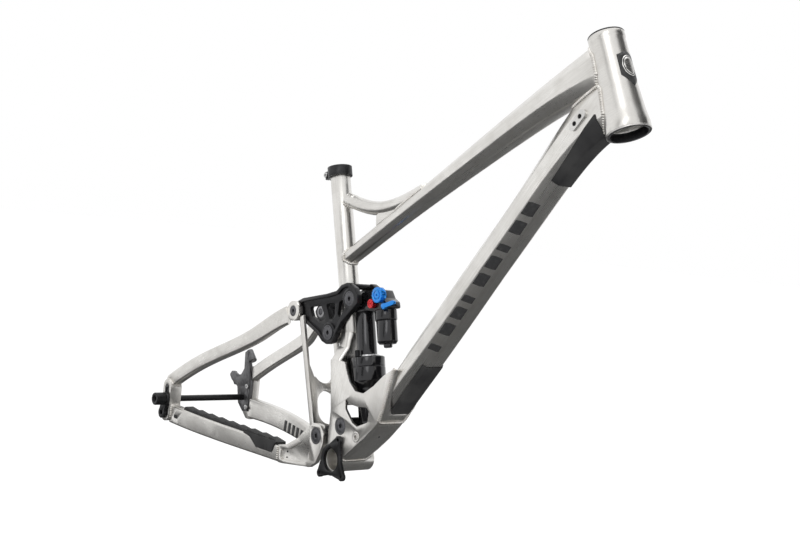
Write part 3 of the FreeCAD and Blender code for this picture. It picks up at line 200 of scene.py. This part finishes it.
def black_anodised(name="black_anodised_metal", roughness=0.36, shade=0.022):
    """Bead-blasted black anodising with light edges, partly handling wear and partly painted
    highlight.
    """
    s = Shader(name, (shade, shade, shade * 1.08), roughness, 0.75, Specular_IOR_Level=0.6)
    grain = s.noise(2600.0, 2.0)
    s.colour(s.worn_and_highlit_edges((shade, shade, shade * 1.08), (0.34, 0.34, 0.35)))
    s.roughness(s.math("ADD", s.ranged(s.noise(40.0, 4.0), roughness - 0.06, roughness + 0.08),
                       s.ranged(grain, -0.03, 0.03)))
    s.bump(grain, 0.18, 0.00005)
    return s.material


def gloss_black():
    """Polished black anodising of the shock, with hairline polishing marks and light convex edges,
    partly wear and partly painted highlight.
    """
    s = Shader("gloss_black_metal", (0.012, 0.012, 0.014), 0.16, 0.6, Coat_Weight=0.6,
               Coat_Roughness=0.06)
    marks = s.noise(1.0, 4.0, s.stretched(105.0, (900, 900, 30)), 0.6)
    s.colour(s.worn_and_highlit_edges((0.012, 0.012, 0.014), (0.22, 0.22, 0.23), 0.35))
    s.roughness(s.ranged(marks, 0.12, 0.26))
    s.bump(marks, 0.05, 0.00003)
    return s.material


def rubber():
    """Moulded rubber: fine pebble grain and dust in random patches."""
    s = Shader("black_rubber_skin", (0.018, 0.018, 0.019), 0.62, 0.0, Specular_IOR_Level=0.35)
    grain = s.noise(1500.0, 3.0)
    dust = s.noise(38.0, 5.0)
    s.colour(s.mixed(s.ranged(dust, 0.0, 0.35), (0.016, 0.016, 0.017), (0.055, 0.054, 0.052)))
    s.roughness(s.ranged(dust, 0.52, 0.74))
    s.bump(grain, 0.30, 0.00010)
    return s.material


def turned_metal(name, base, roughness, slope=90.0):
    """Turned metal: fine concentric marks and a soft stain."""
    s = Shader(name, base, roughness, 1.0)
    rings = s.noise(1.0, 3.0, s.stretched(slope, (2200, 60, 60)), 0.6)
    dark = tuple(0.7 * c for c in base)
    s.colour(s.mixed(s.ranged(s.noise(60.0, 3.0), 0.0, 0.6), base, dark))
    s.roughness(s.ranged(rings, roughness - 0.07, roughness + 0.10))
    s.bump(rings, 0.10, 0.00004)
    return s.material


def anodised_colour(name, base):
    """Bright dyed anodising over turned metal, its convex edges lighter: partly worn dye, partly
    painted highlight.
    """
    s = Shader(name, base, 0.24, 0.9, Coat_Weight=0.4, Coat_Roughness=0.1)
    light = tuple(min(1.0, 2.2 * c + 0.05) for c in base)
    s.colour(s.worn_and_highlit_edges(base, light, 0.8))
    s.roughness(s.ranged(s.noise(500.0, 3.0), 0.18, 0.32))
    s.bump(s.noise(1800.0, 2.0), 0.06, 0.00003)
    return s.material


def printed_ink():
    """Matt ink with a slightly worn film."""
    s = Shader("printed_ink", (0.02, 0.02, 0.021), 0.5)
    s.colour(s.mixed(s.ranged(s.noise(300.0, 4.0), 0.0, 0.3, 0.5, 0.8),
                     (0.020, 0.020, 0.021), (0.10, 0.10, 0.10)))
    s.roughness(s.ranged(s.noise(120.0, 3.0), 0.42, 0.58))
    return s.material


def paper_white(name, shade):
    """Seamless studio paper with a very faint tooth."""
    s = Shader(name, (shade, shade, shade), 0.9, Specular_IOR_Level=0.1)
    s.bump(s.noise(300.0, 2.0), 0.02, 0.0002)
    return s.material


WELD = weld_metal()
INK = printed_ink()
SLOT_MATERIAL = {
    "black_anodised": black_anodised(),
    "cup_silver": turned_metal("turned_silver", (0.72, 0.71, 0.69), 0.28),
    "black_rubber": rubber(),
    "steel_bolt": turned_metal("turned_steel", (0.60, 0.60, 0.60), 0.26),
    "bearing_steel": turned_metal("ground_steel", (0.30, 0.30, 0.31), 0.30),
    "shock_black": gloss_black(),
    "shock_silver": turned_metal("polished_silver", (0.80, 0.80, 0.81), 0.20),
    "cap_plastic": black_anodised("cap_plastic_skin", 0.42, 0.015),
    "dial_blue": anodised_colour("dial_blue_dye", (0.012, 0.23, 0.72)),
    "dial_red": anodised_colour("dial_red_dye", (0.62, 0.02, 0.03)),
}
BOLT_GREY = black_anodised("grey_anodised_bolt", 0.30, 0.085)
GREY_BOLTS = {
    "rocker_axle", "lower_link_axle", "chainstay_pivot_axle", "shock_upper_bolt",
    "rear_pivot_bolts",
}
_aluminium = {}


def material_for(node):
    slot = SLOT_OF[node]
    if node in GREY_BOLTS:
        return BOLT_GREY
    if slot != "raw_aluminium":
        return SLOT_MATERIAL[slot]
    slope = SLOPE.get(node, 0.0)
    if slope not in _aluminium:
        _aluminium[slope] = raw_aluminium("brushed_aluminium_%d" % round(slope), slope)
    return _aluminium[slope]


# ---- finished copies of the nodes ----------------------------------------------------------
SHARP = math.radians(28)             # edges bent more than this are rounded
PLANAR = math.radians(0.4)           # faces bent less than this are joined


def welded_copy(node):
    """The node's mesh with shared corners joined."""
    bm = bmesh.new()
    bm.from_mesh(NODES[node].data)
    bmesh.ops.remove_doubles(bm, verts=bm.verts, dist=2e-6)
    return bm


def new_piece(name, bm, material, body, slot):
    mesh = bpy.data.meshes.new(name)
    bm.to_mesh(mesh)
    bm.free()
    piece = bpy.data.objects.new(name, mesh)
    bpy.context.scene.collection.objects.link(piece)
    mesh.materials.append(material)
    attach(piece, body)
    return piece


def applied(piece):
    """Turn the piece's modifiers into its mesh."""
    graph = bpy.context.evaluated_depsgraph_get()
    done = bpy.data.meshes.new_from_object(piece.evaluated_get(graph))
    piece.modifiers.clear()
    piece.data = done
    return piece


def finished(node, bevel):
    """Copy shown for a node: same shape, with its sharp edges rounded and smooth shading."""
    bm = welded_copy(node)
    bmesh.ops.dissolve_limit(bm, angle_limit=PLANAR, verts=bm.verts, edges=bm.edges,
                             delimit={"NORMAL"})
    for face in bm.faces:
        face.smooth = True
    piece = new_piece(node + "_finished", bm, material_for(node), BODY_OF[node], SLOT_OF[node])
    edge = piece.modifiers.new("edge", "BEVEL")
    edge.width = bevel
    edge.segments = 2
    edge.limit_method = "ANGLE"
    edge.angle_limit = SHARP
    edge.harden_normals = True
    applied(piece)
    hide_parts(node)
    return piece


BEVEL = {
    "raw_aluminium": 0.6 * MM, "black_anodised": 0.45 * MM, "black_rubber": 0.5 * MM,
    "shock_black": 0.45 * MM, "dial_blue": 0.3 * MM, "dial_red": 0.3 * MM,
    "cup_silver": 0.3 * MM, "shock_silver": 0.3 * MM, "steel_bolt": 0.25 * MM,
}
LEFT_AS_BUILT = {
    "rocker_bearings", "lower_link_bearings", "damper_shaft", "air_piston", "air_valve_cap",
}


def finish_nodes():
    for node, source in NODES.items():
        if node in LEFT_AS_BUILT:
            source.data.materials.clear()
            source.data.materials.append(material_for(node))
        else:
            finished(node, BEVEL[SLOT_OF[node]])


# ---- weld beads ----------------------------------------------------------------------------
BEAD_R = 3.0 * MM
REAR_BEAD_R = 2.2 * MM
MOUTH_BEAD_R = 3.2 * MM
RIPPLE = 3.4 * MM                    # length of one weld pool
BEAD_STEP = 0.6 * MM
BEAD_SIDES = 10
SHORTEST_BEAD = 12 * MM
BEND = math.radians(20)              # an edge bent more than this can carry a weld


def chains(edges):
    """Ordered point lists from loose edges."""
    near = {}
    for a, b in edges:
        near.setdefault(a, []).append(b)
        near.setdefault(b, []).append(a)
    used, found = set(), []
    starts = sorted(near, key=lambda v: len(near[v]) != 1)
    for start in starts:
        if start in used:
            continue
        line = [start]
        used.add(start)
        while True:
            ahead = [v for v in near[line[-1]] if v not in used]
            if not ahead:
                break
            line.append(ahead[0])
            used.add(ahead[0])
        closed = len(line) > 2 and line[0] in near[line[-1]]
        found.append((line, closed))
    return found


def length_of(points):
    return sum((b - a).length for a, b in zip(points, points[1:]))


def resampled(points, step):
    """Points at even spacing along a polyline."""
    total = length_of(points)
    count = max(2, int(total / step))
    out, i, run = [points[0].copy()], 0, 0.0
    for k in range(1, count):
        target = total * k / count
        while run + (points[i + 1] - points[i]).length < target:
            run += (points[i + 1] - points[i]).length
            i += 1
        span = points[i + 1] - points[i]
        out.append(points[i] + span * ((target - run) / span.length))
    out.append(points[-1].copy())
    return out


def smoothed(points, rounds, closed):
    for _ in range(rounds):
        count = len(points)
        moved = []
        for i, p in enumerate(points):
            if not closed and i in (0, count - 1):
                moved.append(p)
                continue
            moved.append((points[i - 1] + p * 2 + points[(i + 1) % count]) / 4)
        points = moved
    return points


def junction(node, neighbour, tolerance=0.5 * MM):
    """Longest line of a node's sharp edges that lies on its neighbour's surface."""
    bm = welded_copy(node)
    other = welded_copy(neighbour)
    surface = BVHTree.FromBMesh(other)
    other.free()
    close = set()
    for v in bm.verts:
        hit = surface.find_nearest(v.co, tolerance)
        if hit[0] is not None:
            close.add(v.index)
    edges = []
    for e in bm.edges:
        a, b = e.verts
        if a.index in close and b.index in close and len(e.link_faces) == 2:
            if e.calc_face_angle(0) > BEND:
                edges.append((a.index, b.index))
    places = {v.index: v.co.copy() for v in bm.verts}
    bm.free()
    lines = [([places[i] for i in line], closed) for line, closed in chains(edges)]
    return max(lines, key=lambda line: length_of(line[0])) if lines else None


def section(node, point, normal):
    """Longest outline where a plane cuts a node."""
    bm = welded_copy(node)
    cut = bmesh.ops.bisect_plane(bm, geom=bm.verts[:] + bm.edges[:] + bm.faces[:],
                                 plane_co=point, plane_no=normal, dist=1e-7)
    edges = [g for g in cut["geom_cut"] if isinstance(g, bmesh.types.BMEdge)]
    bm.verts.index_update()
    pairs = [(e.verts[0].index, e.verts[1].index) for e in edges]
    places = {v.index: v.co.copy() for v in bm.verts}
    bm.free()
    lines = [([places[i] for i in line], closed) for line, closed in chains(pairs)]
    return max(lines, key=lambda line: length_of(line[0]))


def ripple_radius(distance):
    """Radius along a bead: each pool rises quickly and falls away, like overlapped coins."""
    phase = (distance / RIPPLE) % 1.0
    return 0.74 + 0.26 * math.sin(math.pi * min(1.0, phase * 1.25)) ** 0.6


def bead(name, points, closed, body="main_frame", radius=BEAD_R):
    """Rippled weld bead swept along a line."""
    if closed:
        points = points + [points[0]]
    line = resampled(points, BEAD_STEP)
    if closed:
        line = line[:-1]
    line = smoothed(line, 4, closed)
    count = len(line)
    bm = bmesh.new()
    rings, run = [], 0.0
    up = Vector((0.13, 0.93, 0.33)).normalized()
    for i, p in enumerate(line):
        ahead = line[(i + 1) % count] if closed or i + 1 < count else p
        behind = line[i - 1] if closed or i else p
        run += (p - line[i - 1]).length if i else 0.0
        tangent = (ahead - behind).normalized()
        side = tangent.cross(up)
        side = side.normalized() if side.length > 1e-3 else tangent.orthogonal().normalized()
        up = side.cross(tangent).normalized()
        end = 1.0 if closed else min(1.0, 0.35 + 0.25 * min(i, count - 1 - i))
        r = radius * ripple_radius(run) * end
        turn = [2 * math.pi * k / BEAD_SIDES for k in range(BEAD_SIDES)]
        rings.append([bm.verts.new(p + (side * math.cos(t) + up * math.sin(t)) * r) for t in turn])
    last = count if closed else count - 1
    for i in range(last):
        a, b = rings[i], rings[(i + 1) % count]
        for k in range(BEAD_SIDES):
            j = (k + 1) % BEAD_SIDES
            bm.faces.new((a[k], a[j], b[j], b[k])).smooth = True
    if not closed:
        bm.faces.new(rings[0][::-1])
        bm.faces.new(rings[-1])
    bmesh.ops.recalc_face_normals(bm, faces=bm.faces)
    return new_piece(name, bm, WELD, body, "raw_aluminium")


def weld_beads():
    joints = (
        ("weld_top_tube_head", "top_tube", "head_tube", "main_frame"),
        ("weld_down_tube_head", "down_tube", "head_tube", "main_frame"),
        ("weld_top_tube_seat", "top_tube", "seat_tube", "main_frame"),
        ("weld_brace_seat", "seat_tube_brace", "seat_tube", "main_frame"),
        ("weld_brace_top_tube", "seat_tube_brace", "top_tube", "main_frame"),
        ("weld_shell_floor", "cage_floor", "bottom_bracket_shell", "main_frame"),
        ("weld_seat_lug", "seat_tube", "seat_tube_lug", "main_frame"),
        ("weld_chainstay_yoke_drive", "chainstay_drive", "yoke_drive", "rear_triangle"),
        ("weld_chainstay_yoke_left", "chainstay_left", "yoke_left", "rear_triangle"),
        ("weld_seatstay_dropout", "seatstay_drive", "dropout_drive", "rear_triangle"),
        ("weld_chainstay_dropout", "chainstay_drive", "dropout_drive", "rear_triangle"),
        ("weld_seatstay_dropout_left", "seatstay_left", "dropout_left", "rear_triangle"),
        ("weld_chainstay_dropout_left", "chainstay_left", "dropout_left", "rear_triangle"),
    )
    for name, node, neighbour, body in joints:
        found = junction(node, neighbour)
        if found is None or length_of(found[0]) < SHORTEST_BEAD:
            continue
        line, closed = found
        bead(name, line, closed, body, REAR_BEAD_R if body == "rear_triangle" else BEAD_R)
    crotch, seam = Vector((0.413, 0, 0.579)), Vector((0.056, 0, 0.032)).normalized()
    across = seam.cross(LEFT)
    loop, closed = section("down_tube", crotch - across * (0.4 * MM), across)
    bead("weld_tubes_seam", loop, closed)
    cage_mouth()


# Edge of the cage's mouth round the down tube, from the top of one wall under to the other, in mm.
MOUTH = [
    (136, -36, 176), (131, -36, 168), (123, -36, 136), (115, -36, 104), (112.5, -36, 99),
    (106.5, -35.5, 83.5), (107, -28, 82.5), (107.5, 14, 82.5), (105.5, 26, 93), (103.5, 33, 101.5),
    (104, 36, 104), (112, 36, 119), (121, 36, 137), (131, 36, 168), (136, 36, 176)]
LIP_INTO_CAGE = 3 * MM
LIP_THICKNESS = 1.2 * MM


def cage_mouth():
    """Lip that closes the cage round the end of the down tube, with its weld."""
    edge = resampled([Vector(p) * MM for p in MOUTH], 2 * MM)
    seam = Vector((0.031, 0, 0.106)).normalized()
    ahead = LEFT.cross(seam)
    loop, _ = section("down_tube", Vector((0.1, 0, 0.062)) + ahead * (7 * MM), ahead)
    loop = resampled(loop + loop[:1], 1 * MM)
    bm = bmesh.new()
    rows = []
    for p in edge:
        near = min(loop, key=lambda q: (q - p).length)
        middle = (p + near) / 2
        rows.append([bm.verts.new(q) for q in (p - ahead * LIP_INTO_CAGE, p, middle, near)])
    for a, b in zip(rows, rows[1:]):
        for k in range(3):
            bm.faces.new((a[k], b[k], b[k + 1], a[k + 1])).smooth = True
    bmesh.ops.recalc_face_normals(bm, faces=bm.faces)
    lip = new_piece("cage_mouth_lip", bm, material_for("cage_drive_wall"), "main_frame",
                    "raw_aluminium")
    skin = lip.modifiers.new("skin", "SOLIDIFY")
    skin.thickness = LIP_THICKNESS
    skin.offset = 0
    applied(lip)
    bead("weld_cage_mouth", smoothed(edge, 6, False), False, radius=MOUTH_BEAD_R)


# ---- trim ----------------------------------------------------------------------------------
FILM_THICKNESS = 0.2 * MM
MARK_LIFT = 0.22 * MM                # height of a film's middle over the surface
FILM_ROWS, FILM_COLUMNS = 10, 8
FILM_REACH = 0.2                     # how far a film looks for its surface
FILM_GUESS = 0.11                    # and where it looks when it finds none
WIDE_SEARCH = 0.15                   # side distance that clears the whole frame
BADGE_BEND_R = 0.026                 # radius the badge is wrapped on


def tree_of(node):
    bm = welded_copy(node)
    tree = BVHTree.FromBMesh(bm)
    bm.free()
    return tree


def patch(name, outline, place, toward, tree, material, body, slot, lift=MARK_LIFT):
    """Thin film on a surface: place(u, v) gives a point off it, toward(u, v) the way in."""
    bm = bmesh.new()
    us = [u for u, v in outline]
    rows = []
    for i in range(FILM_ROWS + 1):
        u = min(us) + (max(us) - min(us)) * i / FILM_ROWS
        low, high = span(outline, u)
        row = []
        for j in range(FILM_COLUMNS + 1):
            v = low + (high - low) * j / FILM_COLUMNS
            start, way = place(u, v), toward(u, v)
            hit = tree.ray_cast(start, way, FILM_REACH)
            if hit[0] is None:
                hit = tree.find_nearest(start + way * FILM_GUESS)
            row.append(bm.verts.new(hit[0] - way * lift))
        rows.append(row)
    for a, b in zip(rows, rows[1:]):
        for j in range(FILM_COLUMNS):
            bm.faces.new((a[j], a[j + 1], b[j + 1], b[j])).smooth = True
    bmesh.ops.remove_doubles(bm, verts=bm.verts, dist=1e-6)
    bmesh.ops.recalc_face_normals(bm, faces=bm.faces)
    piece = new_piece(name, bm, material, body, slot)
    skin = piece.modifiers.new("skin", "SOLIDIFY")
    skin.thickness = FILM_THICKNESS
    skin.offset = 0
    return applied(piece)


def span(outline, u):
    """Lowest and highest v of a convex outline at u."""
    hits = []
    for (u0, v0), (u1, v1) in zip(outline, outline[1:] + outline[:1]):
        if u0 != u1 and min(u0, u1) - 1e-9 <= u <= max(u0, u1) + 1e-9:
            hits.append(v0 + (v1 - v0) * (u - u0) / (u1 - u0))
        elif u0 == u1 and abs(u - u0) < 1e-9:
            hits += [v0, v1]
    return min(hits), max(hits)


def oval(u0, v0, half_u, half_v, count=28):
    return [(u0 + half_u * math.cos(2 * math.pi * k / count),
             v0 + half_v * math.sin(2 * math.pi * k / count)) for k in range(count)]


def head_badge():
    """Plain oval badge on the front of the head tube."""
    tree = tree_of("head_tube")
    silver = SLOT_MATERIAL["cup_silver"]

    def outward(u):
        return Matrix.Rotation(u / BADGE_BEND_R, 3, HEAD_AXIS) @ HEAD_FRONT

    def place(u, v):
        return HEAD_UPPER + HEAD_AXIS * v + outward(u) * 0.06

    def toward(u, v):
        return outward(u) * -1

    shield = [(-0.017, 0.036), (0, 0.030), (0.017, 0.036), (0.017, 0.066), (0, 0.082),
              (-0.017, 0.066)]
    args = (place, toward, tree)
    patch("badge_shield", shield, *args, INK, "main_frame", "black_anodised", 0.25 * MM)
    patch("badge_rim", oval(0, 0.052, 0.0125, 0.0155), *args, silver, "main_frame", "cup_silver",
          0.5 * MM)
    patch("badge_field", oval(0, 0.052, 0.0112, 0.0142), *args, INK, "main_frame",
          "black_anodised", 0.7 * MM)
    patch("badge_disc", oval(0, 0.052, 0.0098, 0.0128), *args, silver, "main_frame", "cup_silver",
          0.9 * MM)


def down_tube_marks():
    """Plain slanted bars along the lower drive-side face of the down tube."""
    tree = tree_of("down_tube")
    slope = math.radians(DOWN_TUBE_SLOPE)
    along = Vector((math.cos(slope), 0, math.sin(slope)))
    up = Vector((-along.z, 0, along.x))
    inward = (up * 0.667 + LEFT * 0.745).normalized()
    wide = inward.cross(along).normalized()
    origin = up * (-12 * MM)
    first, step, lean, half_height = 0.292, 0.0345, 0.004, 0.0085

    def place(u, v):
        face = origin + along * u + up * (-16.5 * MM) - LEFT * (19.5 * MM)
        return face + wide * v - inward * 0.03

    def toward(u, v):
        return inward

    s = first
    for k in range(9):
        width = 0.0235 if k % 3 else 0.0125
        bar = [(s, -half_height), (s + width, -half_height), (s + width + lean, half_height),
               (s + lean, half_height)]
        patch("down_tube_mark_%d" % k, bar, place, toward, tree, INK, "main_frame",
              "black_anodised")
        s += step


def chainstay_marks():
    """Short plain bars on the inside of the left chainstay."""
    tree = tree_of("chainstay_left")

    first, step, fall = -0.292, 0.0165, 0.0012
    width, lean = 0.010, 0.0025

    def place(u, v):
        return Vector((u, 0.0, v))

    def toward(u, v):
        return LEFT

    for k in range(6):
        x = first + step * k
        low, high = -0.014 - fall * k, 0.007 - fall * k
        bar = [(x, low), (x + width, low), (x + width + lean, high), (x + lean, high)]
        patch("chainstay_mark_%d" % k, bar, place, toward, tree, INK, "rear_triangle",
              "black_anodised")


def hole_shade_discs():
    """Dark discs laid on the surface as painted shade for the cable holes, vent holes and the
    drain slot.
    """
    dark = SLOT_MATERIAL["cap_plastic"]

    def from_drive(u, v):
        return Vector((u, -WIDE_SEARCH, v))

    def inward(u, v):
        return LEFT

    row, apart = math.radians(50), 0.0065
    tree = tree_of("down_tube")
    for k, side in enumerate((-1, 1)):
        x = 0.455 + apart * side * math.cos(row)
        z = 0.569 + apart * side * math.sin(row)
        patch("port_hole_shade_%d" % k, oval(x, z, 0.0036, 0.0036), from_drive, inward, tree, dark,
              "main_frame", "cap_plastic", 0.35 * MM)
    yoke = tree_of("yoke_drive")
    for k, z in enumerate((-0.008, -0.018)):
        patch("yoke_vent_shade_%d" % k, oval(-0.1045, z, 0.0014, 0.0014), from_drive, inward, yoke, dark,
              "rear_triangle", "cap_plastic", 0.15 * MM)
    belly = tree_of("cage_floor")
    under = Vector((0.69, 0, -0.72)).normalized()

    def from_below(u, v):
        return Vector((0.084, v, 0.056)) + under.cross(LEFT) * u + under * 0.03

    patch("cage_drain_shade", oval(0, -0.012, 0.0018, 0.0018), from_below,
          lambda u, v: under * -1, belly, dark, "main_frame", "cap_plastic", 0.15 * MM)


CUP_SEAT_R = 26.6 * MM


def blacken_cup():
    """The lower cup is bare outside and black on its inner faces: partly the cup's own black seat,
    partly painted shade in the bore.
    """
    piece = bpy.data.objects["lower_headset_cup_finished"]
    piece.data.materials.append(SLOT_MATERIAL["black_anodised"])
    for face in piece.data.polygons:
        reach = Vector(face.center) - HEAD_LOWER
        radial = reach - HEAD_AXIS * reach.dot(HEAD_AXIS)
        if radial.length < CUP_SEAT_R or Vector(face.normal).dot(radial) < 0:
            face.material_index = 1


# ---- stage, light and camera ---------------------------------------------------------------
CAMERA_PLACE = Vector((1.544245, -1.225007, 0.407648))
CAMERA_RIGHT = Vector((0.6339, 0.7667, 0.1017)).normalized()
CAMERA_UP = Vector((-0.1002, -0.0490, 0.9938)).normalized()
SENSOR_WIDTH, LENS = 36.0, 52.7949   # millimetres
LENS_SHIFT = (0.0024125, 0.010325)   # of the sensor's width
FLOOR_Z = -0.345                     # where the wheels would stand
FLOOR_HALF = 30.0
FLOOR_GLOW = 0.09                    # keeps the far floor as white as the surroundings


def camera():
    data = bpy.data.cameras.new("camera")
    data.sensor_width = SENSOR_WIDTH
    data.lens = LENS
    data.shift_x, data.shift_y = LENS_SHIFT
    back = CAMERA_RIGHT.cross(CAMERA_UP).normalized()
    up = back.cross(CAMERA_RIGHT).normalized()
    turn = Matrix((CAMERA_RIGHT, up, back)).transposed().to_4x4()
    eye = bpy.data.objects.new("camera", data)
    eye.matrix_world = Matrix.Translation(CAMERA_PLACE) @ turn
    bpy.context.scene.collection.objects.link(eye)
    bpy.context.scene.camera = eye


def softbox(name, place, target, size, power):
    data = bpy.data.lights.new(name, "AREA")
    data.shape = "RECTANGLE"
    data.size, data.size_y = size
    data.energy = power
    lamp = bpy.data.objects.new(name, data)
    lamp.location = place
    lamp.rotation_euler = (Vector(target) - Vector(place)).to_track_quat("-Z", "Y").to_euler()
    bpy.context.scene.collection.objects.link(lamp)


def card(name, place, target, size, shade):
    """Dark card seen only in reflections, as a studio sets beside bright metal."""
    bm = bmesh.new()
    turn = (Vector(target) - Vector(place)).to_track_quat("Z", "Y").to_matrix().to_4x4()
    bmesh.ops.create_grid(bm, x_segments=1, y_segments=1, size=0.5,
                          matrix=Matrix.Translation(place) @ turn @ Matrix.Diagonal((*size, 1, 1)))
    mesh = bpy.data.meshes.new(name)
    bm.to_mesh(mesh)
    bm.free()
    panel = bpy.data.objects.new(name, mesh)
    bpy.context.scene.collection.objects.link(panel)
    mesh.materials.append(paper_white(name + "_felt", shade))
    panel.visible_camera = panel.visible_diffuse = panel.visible_shadow = False


def studio():
    """Pale floor, even white surroundings, soft lights, and dark cards for the metal to mirror."""
    bm = bmesh.new()
    bmesh.ops.create_grid(bm, x_segments=2, y_segments=2, size=FLOOR_HALF,
                          matrix=Matrix.Translation((0, 0, FLOOR_Z)))
    mesh = bpy.data.meshes.new("floor")
    bm.to_mesh(mesh)
    bm.free()
    floor = bpy.data.objects.new("floor", mesh)
    bpy.context.scene.collection.objects.link(floor)
    paper = paper_white("floor_paper", 0.93)
    glow = paper.node_tree.nodes["Principled BSDF"].inputs
    glow["Emission Color"].default_value = (1, 1, 1, 1)
    glow["Emission Strength"].default_value = FLOOR_GLOW
    mesh.materials.append(paper)
    world = bpy.data.worlds.new("studio")
    world.use_nodes = True
    sky = world.node_tree.nodes["Background"]
    sky.inputs["Color"].default_value = (1.0, 1.0, 1.0, 1)
    sky.inputs["Strength"].default_value = 1.0
    bpy.context.scene.world = world
    bpy.context.scene.view_settings.view_transform = "Standard"
    middle = (0.05, 0.0, 0.3)
    card("card_low", (0.0, 0.0, FLOOR_Z + 0.03), (0.0, 0.0, 1.0), (3.4, 3.0), 0.10)
    card("card_right", (1.7, 1.3, 1.4), middle, (1.9, 2.4), 0.03)
    card("card_side", (0.3, -2.3, 1.0), middle, (0.6, 1.4), 0.25)
    softbox("key", (1.5, -2.0, 1.8), middle, (1.0, 1.4), 9)
    softbox("top", (-0.2, 0.2, 2.4), middle, (2.4, 1.0), 12)


finish_nodes()
weld_beads()
head_badge()
down_tube_marks()
chainstay_marks()
hole_shade_discs()
blacken_cup()
studio()
camera()
